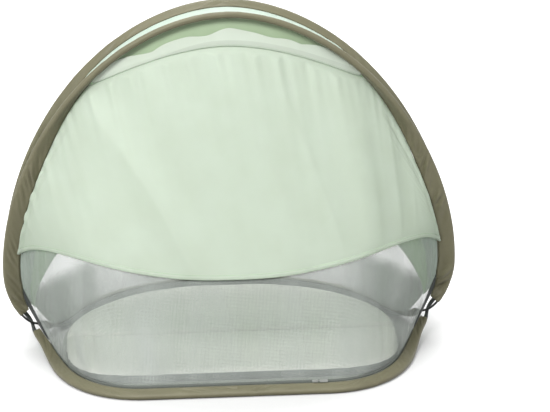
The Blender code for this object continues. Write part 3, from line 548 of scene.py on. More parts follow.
class Recipe:
    """A node tree being made, with a short method for each kind of step; pattern widths are in mm."""

    def __init__(self, tree: bpy.types.NodeTree) -> None:
        """Work on the node tree of a material or of the world."""
        self.tree = tree

    @classmethod
    def of_material(cls, name: str) -> Recipe:
        """Start a new material with its Principled shader."""
        material = bpy.data.materials.new(name)
        material.use_nodes = True
        made = cls(material.node_tree)
        made.material, made.shader = material, made.tree.nodes["Principled BSDF"]
        return made

    def feed(self, target: bpy.types.NodeSocket, value: object) -> None:
        """Link a socket or a node's first output to an input, or set the input's value."""
        if isinstance(value, bpy.types.Node):
            value = value.outputs[0]
        if isinstance(value, bpy.types.NodeSocket):
            self.tree.links.new(value, target)
        else:
            target.default_value = value

    def add(self, kind: str, inputs: dict[str | int, object] | None = None,
            **settings: object) -> bpy.types.Node:
        """Add a node.

        Args:
            kind: Blender's node type without its "ShaderNode".
            inputs: Values, sockets or nodes by the input's name or number.
            settings: The node's own properties.
        """
        made = self.tree.nodes.new("ShaderNode" + kind)
        for key, value in settings.items():
            setattr(made, key, value)
        for key, value in (inputs or {}).items():
            self.feed(made.inputs[key], value)
        return made

    def plug(self, inputs: dict[str, object]) -> bpy.types.Material:
        """Set or link inputs of the Principled shader, and return the material."""
        for key, value in inputs.items():
            self.feed(self.shader.inputs[key], value)
        return self.material

    def surface(self, shader: bpy.types.Node) -> None:
        """Show this shader in place of the Principled one."""
        self.feed(self.tree.nodes["Material Output"].inputs["Surface"], shader)

    def uv(self, name: str) -> bpy.types.Node:
        """One of the piece's UV maps, in metres."""
        return self.add("UVMap", uv_map=name)

    def place(self) -> bpy.types.NodeSocket:
        """Object coordinates, in metres."""
        return self.add("TexCoord").outputs["Object"]

    def parts(self, vector: object) -> list[bpy.types.NodeSocket]:
        """The three parts of a vector."""
        return list(self.add("SeparateXYZ", {0: vector}).outputs)

    def math(self, operation: str, first: object, second: object = 0.0) -> bpy.types.Node:
        """Sum on sockets, nodes or numbers."""
        return self.add("Math", {0: first, 1: second}, operation=operation)

    def spread(self, value: object, low: float = 0.0, high: float = 1.0, start: float = 0.0,
               end: float = 1.0, kind: str = "LINEAR") -> bpy.types.Node:
        """Map low..high to start..end."""
        return self.add("MapRange", {0: value, 1: low, 2: high, 3: start, 4: end}, interpolation_type=kind)

    def mix(self, first: object, second: object, share: object, blend: str = "MIX") -> bpy.types.NodeSocket:
        """Mix two colours."""
        return self.add("Mix", {0: share, 6: first, 7: second}, data_type="RGBA",
                        blend_type=blend).outputs[2]

    def noise(self, vector: object, scale: float, detail: float = 2.0,
              distortion: float = 0.0) -> bpy.types.NodeSocket:
        """Noise over a vector in metres."""
        return self.add("TexNoise", {"Vector": vector, "Scale": scale, "Detail": detail,
                                     "Distortion": distortion}).outputs["Fac"]

    def ridges(self, vector: object, axis: str, pitch_mm: float) -> bpy.types.NodeSocket:
        """Parallel ridges across an axis, one in each pitch."""
        return self.add("TexWave", {"Vector": vector, "Scale": 2 * math.pi / 20 / (pitch_mm / 1000)},
                        bands_direction=axis).outputs["Fac"]

    def bump(self, height: object, strength: float, distance_mm: float,
             under: bpy.types.Node | None = None) -> bpy.types.Node:
        """Bump from a height field, over another bump where there is one."""
        inputs = {"Height": height, "Strength": strength, "Distance": distance_mm / 1000}
        return self.add("Bump", inputs | ({"Normal": under} if under else {}))

    def stitches(self, distance_mm: float, pitch_mm: float = 4.2, width_mm: float = 1.0) -> bpy.types.Node:
        """Row of lockstitches: 1 on a stitch and 0 elsewhere, at a distance from the cloth's edge."""
        run, to_edge, _ = self.parts(self.uv("edge"))
        off = self.math("ABSOLUTE", self.math("SUBTRACT", to_edge, distance_mm / 1000))
        cycle = self.math("FRACT", self.math("MULTIPLY", run, 1000 / pitch_mm))
        return self.math("MULTIPLY", self.math("LESS_THAN", off, width_mm / 2000),
                         self.math("LESS_THAN", cycle, 0.68))

    def seen_directly(self) -> bpy.types.Node:
        """1 where the camera looks, also through a net or off a gloss, and 0 for light that bounces."""
        rays = self.add("LightPath").outputs
        seen = self.math("MAXIMUM", rays["Is Camera Ray"], rays["Is Transmission Ray"])
        return self.math("MAXIMUM", seen, rays["Is Glossy Ray"])


@dataclass(frozen=True)
class CoatedPolyester:
    """Plain-woven polyester with a thin coating: a matte cloth with a faint sheen on its folds.

    Real threads lie about 0.25 mm apart, too fine for the picture, so they are drawn coarser.
    """

    name: str
    colour: str
    deep: str                       # colour of its slightly darker patches
    stitch_mm: float | None = None  # distance of a stitch row from the edge
    stitch_colour: str = "#9aa88f"
    roughness: float = 0.62
    specular: float = 0.35
    translucency: float = 0.0
    crinkle: float = 0.10           # strength of the small creases
    crinkle_mm: float = 11.0        # their usual width
    shaded_band_mm: float | None = None    # width of the darker strip along the sewn edge: painted shade of the folded foot, where the cloth is also doubled
    side_shade_colour: str | None = None  # colour painted on upright faces: the shade on a cushion's sides, painted together with a darker side strip
    thread_mm: float = 1.1
    thread_depth_mm: float = 0.06
    fold_gap: float = 0.010         # the faces this close to the fold don't get the painted side shade

    def material(self) -> bpy.types.Material:
        """Cloth colour with soft patches, stitches, weave bump and crinkle bump."""
        paint = Recipe.of_material(self.name)
        cloth = paint.uv("cloth")
        # dye and coating vary over hand-sized patches
        patches = paint.spread(paint.noise(cloth, 14.0, 3.0), 0.35, 0.65)
        colour = paint.mix(srgb(self.colour), srgb(self.deep), patches)
        # painted shade: the strip along the sewn edge is darkened, for the shaded fold at the foot where the
        # cloth is also doubled
        if self.shaded_band_mm:
            band = paint.math("LESS_THAN", paint.parts(paint.uv("edge"))[1], self.shaded_band_mm / 1000)
            colour = paint.mix(colour, (0.90, 0.90, 0.90, 1), band, "MULTIPLY")
        # painted shade: faces that stand upright, apart from those at the fold between the halves, take the
        # darker side colour, as sides lit less than the top
        if self.side_shade_colour:
            facing = paint.parts(paint.add("NewGeometry").outputs["Normal"])
            upright = paint.math("LESS_THAN", facing[2], 0.55)
            off = paint.math("ABSOLUTE", paint.math("SUBTRACT", paint.parts(paint.place())[1], SIZES.cross_y))
            strip = paint.math("MULTIPLY", upright, paint.math("GREATER_THAN", off, self.fold_gap))
            colour = paint.mix(colour, srgb(self.side_shade_colour), strip)
        if self.stitch_mm:
            colour = paint.mix(colour, srgb(self.stitch_colour), paint.stitches(self.stitch_mm))
        # fine threads, then crinkles a few millimetres wide
        weave = paint.math("MAXIMUM", *(paint.ridges(cloth, axis, self.thread_mm) for axis in "XY"))
        threads = paint.bump(weave, 0.22, self.thread_depth_mm)
        crinkles = paint.noise(cloth, 1000 / self.crinkle_mm, 4.0, 0.6)
        if self.translucency:
            # cloth lit from behind glows a little
            glow = paint.add("BsdfTranslucent", {"Color": colour})
            paint.surface(paint.add("MixShader", {0: self.translucency, 1: paint.shader, 2: glow}))
        return paint.plug({"Base Color": colour, "Roughness": self.roughness, "Sheen Weight": 0.12,
                           "Specular IOR Level": self.specular, "Sheen Roughness": 0.45,
                           "Normal": paint.bump(crinkles, self.crinkle, 1.2, threads)})


@dataclass(frozen=True)
class KnittedNet:
    """Fine knitted polyester netting: grey yarn round six-sided holes.

    Real holes are about 1 mm, drawn at 2.6 mm so that they show, with the real share of open area.
    """

    name: str = "knitted polyester net"
    colour: str = "#aab0ab"
    hole_mm: float = 2.6
    solid_face: float = 0.27        # share covered by one face; light meets two

    def material(self) -> bpy.types.Material:
        """Opacity from cell borders, with yarn colour and a soft rough surface."""
        paint = Recipe.of_material(self.name)
        cloth = paint.uv("cloth")
        cells = paint.add("TexVoronoi", {"Vector": cloth, "Randomness": 0.25, "Scale": 1000 / self.hole_mm},
                          feature="DISTANCE_TO_EDGE").outputs["Distance"]
        yarn = paint.spread(cells, 0.02, 0.30, self.solid_face * 1.55, self.solid_face * 0.75)
        # where the net hangs slack it doubles up in long upright streaks
        upright = paint.add("Mapping", {"Vector": cloth, "Scale": (1.0, 0.10, 1.0)})
        doubled = paint.spread(paint.noise(upright, 15.0, 1.5), 0.36, 0.70, 0.85, 1.25)
        # yarn scatters light onwards, so the net's shadow is fainter than the net
        onwards = paint.spread(paint.add("LightPath").outputs["Is Shadow Ray"], start=1.0, end=0.75)
        # the "edge" map's second value says how many layers more lie over each other
        layers = paint.math("ADD", paint.parts(paint.uv("edge"))[1], 1.0)
        seen = paint.math("MULTIPLY", paint.math("MULTIPLY", yarn, doubled), layers)
        return paint.plug({"Alpha": paint.math("MULTIPLY", seen, onwards), "Base Color": srgb(self.colour),
                           "Roughness": 0.75, "Specular IOR Level": 0.25})


@dataclass(frozen=True)
class Webbing:
    """Narrow woven tape in charcoal: crosswise ribs 1.6 mm apart, matte."""

    name: str = "charcoal webbing"
    colour: str = "#3b3f3d"
    # colour between the ribs: painted shade in the grooves
    groove: str = "#2d302f"
    rib_mm: float = 1.6

    def material(self) -> bpy.types.Material:
        """Ribs as bump, with painted shade in the grooves between them."""
        paint = Recipe.of_material(self.name)
        ribs = paint.ridges(paint.uv("cloth"), "X", self.rib_mm)
        return paint.plug({"Base Color": paint.mix(srgb(self.groove), srgb(self.colour), ribs),
                           "Roughness": 0.8, "Normal": paint.bump(ribs, 0.4, 0.2)})


@dataclass(frozen=True)
class CoatedSteel:
    """Spring steel in black powder coat: dark, semi-gloss, with faint drawing lines."""

    name: str = "black coated spring steel"
    dark: str = "#101110"
    light: str = "#222423"

    def material(self) -> bpy.types.Material:
        """Dark coat whose roughness varies along the wire."""
        paint = Recipe.of_material(self.name)
        grain = paint.noise(paint.place(), 220.0, 3.0)
        return paint.plug({"Base Color": paint.mix(srgb(self.dark), srgb(self.light), grain),
                           "Roughness": paint.spread(grain, start=0.32, end=0.5)})


@dataclass(frozen=True)
class CastZinc:
    """Die-cast zinc with a gunmetal plating, lightly tumbled."""

    name: str = "gunmetal plated zinc"
    dark: str = "#7d807c"
    light: str = "#a3a5a0"

    def material(self) -> bpy.types.Material:
        """Metal with fine tumbling marks in its roughness and bump."""
        paint = Recipe.of_material(self.name)
        marks = paint.noise(paint.place(), 900.0, 4.0)
        return paint.plug({"Base Color": paint.mix(srgb(self.dark), srgb(self.light), marks),
                           "Roughness": paint.spread(marks, start=0.28, end=0.48), "Metallic": 1.0,
                           "Normal": paint.bump(marks, 0.15, 0.1)})


@dataclass(frozen=True)
class Finishes:
    """One material for each cloth and metal of the tent."""

    olive: bpy.types.Material
    mint: bpy.types.Material
    canopy: bpy.types.Material
    shade_cloth: bpy.types.Material
    header_cloth: bpy.types.Material
    lining: bpy.types.Material
    net: bpy.types.Material
    tape: bpy.types.Material
    zip_tape: bpy.types.Material
    teeth: bpy.types.Material
    kerb: bpy.types.Material
    floor: bpy.types.Material
    pad: bpy.types.Material
    steel: bpy.types.Material
    zinc: bpy.types.Material

    @classmethod
    def make(cls) -> Finishes:
        """Create the materials."""
        return cls(
            olive=CoatedPolyester("olive polyester", "#67644d", "#605d47", stitch_mm=3.0,
                                  stitch_colour="#57553f", roughness=0.50, specular=0.40,
                                  crinkle=0.9, crinkle_mm=24.0).material(),
            mint=CoatedPolyester("mint polyester", "#d2dfd5", "#cedbd0", stitch_mm=5.0,
                                 translucency=0.45).material(),
            canopy=CoatedPolyester("mint canopy polyester", "#cddcc8", "#c8d8c3", stitch_mm=5.0,
                                   translucency=0.45).material(),
            shade_cloth=CoatedPolyester("mint shade polyester", "#dee6db", "#dbe3d7", stitch_mm=8.0,
                                        stitch_colour="#b9cdb2", translucency=0.58,
                                        crinkle=0.18, crinkle_mm=30.0).material(),
            # the header's darker strip along its foot is painted shade of the fold there, over cloth that is
            # also doubled
            header_cloth=CoatedPolyester("mint header polyester with painted shade band", "#c9d3c5", "#c5cfc0", stitch_mm=2.5,
                                         stitch_colour="#a9bba4", translucency=0.15,
                                         shaded_band_mm=11.0).material(),
            # the valance is darker mint to paint the shade that falls under the front arch
            lining=CoatedPolyester("mint valance polyester in painted shade", "#98ab8c", "#91a485").material(),
            net=KnittedNet().material(),
            tape=Webbing().material(),
            zip_tape=Webbing("grey zip tape", "#5f645f", "#545954").material(),
            teeth=CoatedPolyester("nylon zip coil", "#6d726c", "#656a64", roughness=0.35).material(),
            # the upstand's dark grey paints the shade of the low band seen through the net
            kerb=CoatedPolyester("upstand polyester in painted shade", "#4f534e", "#4b4f4a", roughness=0.6).material(),
            floor=CoatedPolyester("floor polyester", "#b0b6ad", "#a9afa6", roughness=0.5).material(),
            # its side colour paints the shade on the pad's upright sides, together with a darker side strip
            pad=CoatedPolyester("mattress cover with painted side shade", "#eeeee6", "#e9eae1", roughness=0.8,
                                side_shade_colour="#4c504f").material(),
            steel=CoatedSteel().material(),
            zinc=CastZinc().material(),
        )


# Sub-assemblies

INSIDE_FRONT = np.array([0.0, 0.1, 0.2])    # a point behind everything on the front


@dataclass
class SleeveSet:
    """The four folded cloth sleeves that hold the wires."""

    hoops: dict[tuple[Kind, Side], HoopCurve]
    finishes: Finishes
    along: int = 720
    round_count: int = 13           # points over half of the rounded side
    flat_count: int = 9             # points along one flat side
    wrinkle: float = 0.0070
    thickness: float = 0.0007
    nose_turn: float = math.radians(98)     # the round nose ends at this angle
    taut_heights: tuple[float, float] = (0.36, 0.55)    # an arch's sleeve tightens between them
    taut_slack: float = 0.22        # share of the wrinkles that is left over the roof
    base_slack: float = 0.34        # share of them round the base

    def build(self) -> None:
        """Make and seat the sleeves."""
        for (kind, side), hoop in self.hoops.items():
            name = f"{side.label}_{kind.value}_sleeve"
            points, maps = self.surface(hoop)
            within = hoop.at(self.shares(hoop)) + hoop.fold(self.shares(hoop)) * 0.006
            piece = grid_piece(f"{name}_cloth", points, within, maps, wrap=True,
                               thickness=self.thickness, offset=-1)
            seat_on(piece, side.body, [name], self.finishes.olive)

    def shares(self, hoop: HoopCurve) -> Array:
        """Shares of the hoop where the rings lie."""
        return np.linspace(-hoop.sleeve_end, hoop.sleeve_end, self.along)

    def section(self) -> Array:
        """Outline of the fold: a round nose, then two sides that taper to the sewn edge.

        Returns:
            Rows of (nose depth, taper, across at the nose, across at the seam), once round.
        """
        angle = np.linspace(0, self.nose_turn, self.round_count)
        nose = np.stack([-np.cos(angle), np.zeros_like(angle), np.sin(angle), np.zeros_like(angle)], 1)
        t = np.linspace(0, 1, self.flat_count + 1)[1:]
        shape = (1 - smoothstep(t, 0.0, 1.0)) ** 1.15
        side = np.stack([0.139 * (1 - t), t, math.sin(self.nose_turn) * shape, 1 - shape], 1)
        half = np.concatenate([nose, side])
        back = half[:0:-1] * np.array([1, 1, -1, -1])
        return np.concatenate([half, back])

    def surface(self, hoop: HoopCurve) -> tuple[Array, dict[str, Array]]:
        """Rings of the sleeve: centre + fold * depth + side * across, with wrinkles added."""
        shares, section = self.shares(hoop), self.section()
        centre, fold = hoop.at(shares), hoop.fold(shares)
        side = np.cross(hoop.tangent(shares), fold)
        run = (shares - shares[0]) * hoop.length / 2
        to_end = np.minimum(run, run[-1] - run)
        drawn = 1 - 0.10 * np.exp(-to_end / 0.006)
        bulge = hoop.bulge(shares) * drawn
        reach = (hoop.width(shares) - hoop.bulge(shares)) * drawn
        nose, taper, wide, seam = (section[:, i][None, :] for i in range(4))
        depth = nose * bulge[:, None] + taper * (reach - SIZES.sleeve_seam * 0.6)[:, None]
        depth = depth + (1 - taper) * hoop.seat(shares)[:, None]
        across = wide * bulge[:, None] + seam * SIZES.sleeve_seam
        across = across + self.crumple(hoop, shares, run, taper, np.sign(wide + seam))
        points = centre[:, None] + fold[:, None] * depth[..., None] + side[:, None] * across[..., None]
        ring = np.concatenate([points, points[:, :1]], 1)
        girth = np.linalg.norm(np.diff(ring, axis=1), axis=2)
        around = np.concatenate([np.zeros((len(ring), 1)), np.cumsum(girth, axis=1)], 1)
        from_seam = np.abs(around - around[:, -1:] / 2)
        long = np.broadcast_to(run[:, None], around.shape)
        return points, {"cloth": np.stack([long, around], -1), "edge": np.stack([long, from_seam], -1)}

    def crumple(self, hoop: HoopCurve, shares: Array, run: Array, taper: Array, face: Array) -> Array:
        """Sideways shift of the fold: slanting wrinkles between the wire and the sewn edge.

        Waves of the run plus a slant across the fold sway both cloths together, and finer ones part
        them. Slow patches of the run make some stretches smooth.
        """
        if hoop.kind is Kind.ARCH:
            low = 1 - smoothstep(hoop.at(shares)[:, 2], *self.taut_heights)
            slack = self.taut_slack + (1 - self.taut_slack) * low
        else:
            slack = np.full(len(run), self.base_slack)
        hand = np.where(shares < 0, 1.0, -1.0)[:, None]
        slant = run[:, None] + taper * 0.045 * hand + 0.004 * np.sin(run * 61.0)[:, None]
        sway = waves(slant, (0.50, 13.0, 0.4), (0.35, 21.0, 1.7))
        crease = 1 - np.abs(waves(slant + 0.010 * taper, (0.75, 17.0, 1.1), (0.65, 29.0, 0.3)))
        parted = waves(slant, (0.5, 31.0, 2.4), (0.4, 52.0, 0.9)) * face
        patch = np.clip(0.60 + waves(run[:, None], (0.45, 3.7, 0.8), (0.35, 6.1, 2.1)), 0.15, 1)
        hump = np.sin(math.pi * np.clip(0.12 + 0.80 * taper, 0, 1)) ** 1.2
        return self.wrinkle * slack[:, None] * patch * hump * (
            sway * 0.55 + (crease - 0.5) * 0.60 + parted * 0.22)


@dataclass
class WireSet:
    """Bare spring wire and the webbing straps over it near the crossings."""

    hoops: dict[tuple[Kind, Side], HoopCurve]
    finishes: Finishes
    sides: int = 16
    cut: float = 0.0004             # from a rod's end to the plane of the crossings
    strap_end: float = 0.0034       # half width of the strap where the loops pass
    strap_lap: float = 0.004        # length of the strap inside the sleeve's mouth
    strap_thickness: float = 0.0009
    rings: int = 420
    strap_rings: int = 40

    def build(self) -> None:
        """Make wires and straps."""
        for (kind, side), hoop in self.hoops.items():
            end = hoop.end_share(self.cut)
            shares = np.linspace(-end, end, self.rings)
            name = f"{side.label}_{kind.value}_wire"
            piece = self.tube(f"{name}_rod", hoop, shares, SIZES.wire_radius)
            seat_on(piece, side.body, [name], self.finishes.steel)
        for kind, side in ((Kind.ARCH, Side.REAR), (Kind.BASE, Side.FRONT)):
            for hand, where in ((-1, "left"), (1, "right")):
                self.strap(self.hoops[kind, side], hand, f"{side.label}_wire_cover_{where}")

    def tube(self, name: str, hoop: HoopCurve, shares: Array, radius: Array | float,
             cap: bool = True) -> bpy.types.Object:
        """Round tube along a hoop: centre + radius * (fold * cos + side * sin)."""
        centre, fold = hoop.at(shares), hoop.fold(shares)
        side = np.cross(hoop.tangent(shares), fold)
        angle = np.linspace(0, 2 * math.pi, self.sides, endpoint=False)
        radius = np.broadcast_to(radius, len(shares))
        ring = fold[:, None] * np.cos(angle)[None, :, None] + side[:, None] * np.sin(angle)[None, :, None]
        points = centre[:, None] + ring * radius[:, None, None]
        if cap:
            points = np.concatenate([np.repeat(centre[:1, None], self.sides, 1), points,
                                     np.repeat(centre[-1:, None], self.sides, 1)])
            centre = np.concatenate([centre[:1], centre, centre[-1:]])
        run = np.linspace(0, 1, len(points)) * hoop.length * abs(shares[-1] - shares[0]) / 2
        around = np.linspace(0, 2 * math.pi * radius.max(), self.sides + 1)
        grid = np.stack(np.meshgrid(run, around, indexing="ij"), -1)
        return grid_piece(name, points, centre, {"cloth": grid, "edge": grid}, wrap=True,
                          thickness=0.0 if cap else self.strap_thickness, offset=-1)

    def strap(self, hoop: HoopCurve, hand: int, node_name: str) -> None:
        """Flat webbing loop round the bare wire, from the sleeve's mouth to the cut at the crossing."""
        start = hoop.sleeve_end - self.strap_lap
        shares = hand * np.linspace(start, hoop.end_share(self.cut), self.strap_rings)
        radius = SIZES.cover_radius + (self.strap_end - SIZES.cover_radius) * smoothstep(
            np.linspace(0, 1, self.strap_rings), 0.35, 0.85)
        piece = self.tube(f"{node_name}_strap", hoop, shares, radius, cap=False)
        seat_on(piece, hoop.side.body, [node_name], self.finishes.tape)


@dataclass
class FrontPanels:
    """Everything that hangs on the front: valance, header, net door, bindings, shade and hem."""

    wall: WallSurface
    finishes: Finishes
    across: int = 321
    cloth: float = 0.0006
    header_wave: float = 0.0046
    header_top: float = 0.0250
    header_standoff: float = 0.0052
    header_clear: float = 0.0013    # the header stands off the net by this much above its seam
    shade_standoff: float = 0.0040
    sewn_standoff: float = 0.0013   # the shade's distance off the net along its seam
    clearance: float = 0.0012       # its least distance anywhere
    hem_depth: float = 0.0090
    broad_fold: float = 0.0052
    gather: float = 0.0024
    slanted: float = 0.0052
    seam_slope: float = 0.45        # close to the seam the shade rises no steeper than this
    side_rise: float = 0.0060       # and by this much more beside the arch
    valance_drop: float = 0.036
    net_cloth: float = 0.0004
    net_fold: float = 0.0014
    net_reach: float = 0.998
    tape_from: float = 0.942        # the bindings begin at this share of the door's half width
    tape_crown: float = 0.0007
    tape_off: float = 0.0011        # the tape's middle surface lies this far off the wall
    groove_depth: float = 0.0022    # of the soft groove in the shade beside the arch
    groove_from: float = 0.020      # its distance from the arch's seam
    groove_width: float = 0.008
    pucker_height: float = 0.0007
    roll_base: float = 0.0009       # the hem stands this much higher than the shade at its edges
    roll_crown: float = 0.0006      # and this much more along its middle

    def build(self) -> None:
        """Make the pieces from the inside outwards."""
        self.valance()
        self.header()
        self.net_door()
        self.bindings()
        self.shade()

    def sheet(self, name: str, reach: float, low: Callable[[Array], Array], high: Callable[[Array], Array],
              rows: int, lift: Callable[[Array, Array, Array], Array],
              seat: tuple[str, str, str, bpy.types.Material],
              edge: str = "top", columns: int | None = None, thickness: float | None = None,
              fade: Callable[[Array], Array] | None = None,
              layers: Callable[[Array, Array], Array] | None = None) -> None:
        """Sheet of the front wall between two heights.

        Args:
            name: Name of the piece.
            reach: How far across it runs, as a share of the door's half width.
            low: Height of its lower edge at u.
            high: Height of its upper edge at u.
            rows: Number of rows of points.
            lift: Distance off the wall at (u, v, share of its own height).
            seat: Its body, the CAD node that it stands for, its slot and its material.
            edge: "top" or "bottom", the edge that carries the stitches.
            columns: Number of columns of points.
            thickness: Cloth thickness.
            fade: Length at u that is added to the distance from the edge.
            layers: For netting, further layers of it at (u, v), kept in place of that distance.
        """
        u, b = np.meshgrid(np.linspace(-reach, reach, columns or self.across), np.linspace(0, 1, rows))
        v = low(u) + (high(u) - low(u)) * b
        points = self.wall.off(u, v, lift(u, v, b))
        length = (high(u) - low(u)) * self.wall.height(u)
        distance = length * (1 - b) if edge == "top" else length * b
        if fade:
            distance = distance + fade(u)
        if layers:
            distance = layers(u, v)
        sew(name, points, INSIDE_FRONT, cloth_maps(points, distance), thickness or self.cloth, seat)

    def below(self, metres: float) -> Callable[[Array], Array]:
        """Rule for a line a little below the door's top seam."""
        return lambda u: self.wall.top_seam(u) - metres / self.wall.height(u)

    def valance(self) -> None:
        """Band of cloth that hangs from the arch behind the header, darker to paint the shade under the arch.
        """
        drop, height = self.wall.header_drop, self.wall.height
        self.sheet(
            "valance_cloth", SIZES.header_corner * 0.97,
            lambda u: 1 - np.minimum(self.valance_drop, drop(u) * 0.85) / height(u),
            lambda u: 1 - 0.0002 / height(u), 16,
            lambda u, v, b: 0.0003 * waves(u, (1.0, 9.0, 0.3), (0.6, 17.0, 1.1)) * (1 - b),
            ("front_half", "valance", "mint_lining", self.finishes.lining),
            columns=181)

    def header_edge(self, u: Array) -> Array:
        """Free upper edge of the header: a level line with slow waves."""
        drop = self.wall.header_drop(u)
        wave = self.header_top - self.header_wave * (
            waves(u, (0.75, 7.2, 0.9), (0.35, 3.4, 0.2), (0.25, 12.5, 2.0)))
        ends = 1 - 0.93 * smoothstep(np.abs(u + 0.02), 0.16, 0.29)
        return 1 - np.minimum(wave, drop * 0.62) * ends / self.wall.height(u)

    def header(self) -> None:
        """Slack band above the door's top seam, sewn at its foot and free along its wavy top."""
        def lift(u: Array, v: Array, b: Array) -> Array:
            clear = self.header_clear * np.clip(b / 0.3, 0, 1)
            return clear + self.header_standoff * b * (0.7 + waves(u, (0.2, 6.0, 0.4), (0.1, 13.0, 1.0)))
        self.sheet("header_cloth", SIZES.header_corner * 0.975, self.below(0.0), self.header_edge, 22, lift,
                   ("front_half", "header_band", "mint_cloth", self.finishes.header_cloth),
                   edge="bottom", columns=241,
                   # this moves the painted shade strip along the foot, and its stitch row, off the left part
                   # of the header
                   fade=lambda u: 0.012 * (1 - smoothstep(u, -0.24, -0.02)))

    def net_door(self) -> None:
        """Net that fills the doorway, with long soft folds low down at both sides."""
        def lift(u: Array, v: Array, b: Array) -> Array:
            free = np.sin(math.pi * np.clip(b, 0, 1)) ** 0.6 * (1 - smoothstep(v, 0.16, 0.42))
            slant = u + 0.10 * v
            folds = waves(slant, (0.9, 6.5, 0.6), (0.7, 11.0, 2.0), (0.5, 19.0, 0.3))
            corner = smoothstep(np.abs(u), 0.25, 0.75)
            return self.net_fold * free * (0.35 + corner) * (folds - 1.0) * 0.5
        self.sheet("door_net_mesh", self.net_reach,
                   lambda u: (SIZES.zip_width + 0.0006) / self.wall.height(u), self.below(0.0006), 120, lift,
                   ("front_door", "door_net", "net", self.finishes.net),
                   thickness=self.net_cloth, layers=self.folded_net)

    def folded_net(self, u: Array, v: Array) -> Array:
        """Layers of net beyond one: slanting folds low down beside the bindings, and upright ones."""
        side = smoothstep(np.abs(u), 0.62, 0.93) * (1 - smoothstep(v, 0.12, 0.38))
        streaks = 0.5 + waves(np.abs(u) + 0.55 * v, (0.5, 13.0, 0.3), (0.3, 29.0, 1.7))
        upright = 0.35 * smoothstep(v, 0.03, 0.08) * (1 - smoothstep(v, 0.10, 0.30)) * np.clip(
            waves(u + 0.12 * v, (1.0, 3.1, 0.6), (0.7, 7.3, 2.2)) - 0.6, 0, 1)
        middle = np.exp(-((u + 0.30) / 0.16) ** 2) * 0.30 + np.exp(-((u - 0.42) / 0.12) ** 2) * 0.20
        corner = smoothstep(np.abs(u), 0.84, 0.92) * (1 - smoothstep(v, 0.20, 0.55)) * 1.6
        return side * (0.50 + 0.90 * np.clip(streaks, 0, 1.2)) + corner + upright + middle * (
            1 - smoothstep(v, 0.10, 0.35))

    def bindings(self) -> None:
        """Charcoal tape folded over the door's short side edges."""
        for hand, where in ((-1, "left"), (1, "right")):
            u, v = np.meshgrid(hand * np.linspace(self.tape_from, 1.0, 12), np.linspace(0.04, 0.985, 40))
            crown = np.sin(math.pi * np.linspace(0, 1, 12))[None, :] * self.tape_crown
            points = self.wall.off(u, v, self.tape_off + crown * np.ones_like(u))
            sew(f"door_binding_{where}_tape", points, INSIDE_FRONT, cloth_maps(points), 0.0008,
                ("front_door", f"door_binding_{where}", "charcoal_tape", self.finishes.tape))

    def shade(self) -> None:
        """Sun shade with its gathers under the top seam, and its folded hem."""
        reach = SIZES.hem_corner * 0.994
        self.sheet("sun_shade_cloth", reach, lambda u: np.minimum(self.wall.hem(u), 0.985),
                   lambda u: np.maximum(self.below(self.clearance)(u), 0.9), 150, self.shade_lift,
                   ("sun_shade_panel", "sun_shade", "mint_cloth", self.finishes.shade_cloth),
                   edge="bottom")
        self.hem(reach)

    def shade_lift(self, u: Array, v: Array, b: Array) -> Array:
        """Distance of the shade off the net.

        Broad slow folds that slant across the middle, gathers that fade below the seam, and a soft
        groove beside the arch.
        """
        to_arch = (1 - v) * self.wall.height(u)
        fade = np.sin(math.pi * np.clip(b, 0, 1)) ** 0.5
        down = 1 - b
        slant = u - 0.27 * down * smoothstep(u, -0.70, -0.20) * (1 - smoothstep(u, 0.25, 0.95))
        calm = 1 - 0.6 * smoothstep(u, 0.40, 0.75)
        slow = waves(slant, (0.40, 1.6, 0.5), (0.42, 2.9, 2.2), (0.34, 4.7, 0.9), (0.16, 8.3, 0.2))
        crease = 1 - np.sqrt(0.03 + waves(slant, (0.8, 3.1, 1.2), (0.5, 5.3, 0.4)) ** 2)
        crease = 0.35 + (crease - 0.25) * (1 - 0.75 * smoothstep(np.abs(u), 0.35, 0.70))
        broad = fade * (self.broad_fold * (0.6 + slow * calm) + self.slanted * crease)
        lean = u - 0.10 * down * (1 + u)
        tucks = 1 - np.sqrt(0.12 + waves(lean, (0.7, 8.5, 0.9), (0.5, 13.0, 2.6), (0.3, 5.3, 0.3)) ** 2)
        gathers = self.gather * (1 - np.exp(-down / 0.02)) * (1 - 0.75 * smoothstep(u, 0.15, 0.50)) * (
            1.5 * np.exp(-down / 0.12) * (1 + waves(lean, (0.6, 19.0, 0.5), (0.4, 33.0, 1.8)))
            + 1.1 * np.exp(-down / 0.40) * (0.6 + tucks))
        sewn = smoothstep(b, 0.75, 1.0)
        stand = self.shade_standoff + (self.sewn_standoff - self.shade_standoff) * sewn
        bell = np.exp(-((to_arch - self.groove_from) / self.groove_width) ** 2)
        groove = -self.groove_depth * bell * (1 - np.exp(-to_arch / 0.01))
        pucker = self.pucker_height * np.exp(-(to_arch / 0.03) ** 2) * fade
        pucker = pucker * waves(b, (1.0, 15.0, 0.5), (0.6, 27.0, 1.5))
        side = smoothstep(np.abs(u), 0.40, 0.52)
        lift = stand + broad + gathers + (groove + pucker) * side - self.clearance
        lift = 0.5 * (lift + np.sqrt(lift ** 2 + 0.0004 ** 2))
        # close to the seam it rises no steeper than this, so that it clears the header when it's lifted
        rise = self.seam_slope * down * self.wall.height(u) * (1 - self.wall.hem(u))
        rise = rise + self.side_rise * smoothstep(np.abs(u), 0.34, 0.46)
        return self.clearance + np.minimum(lift, rise)

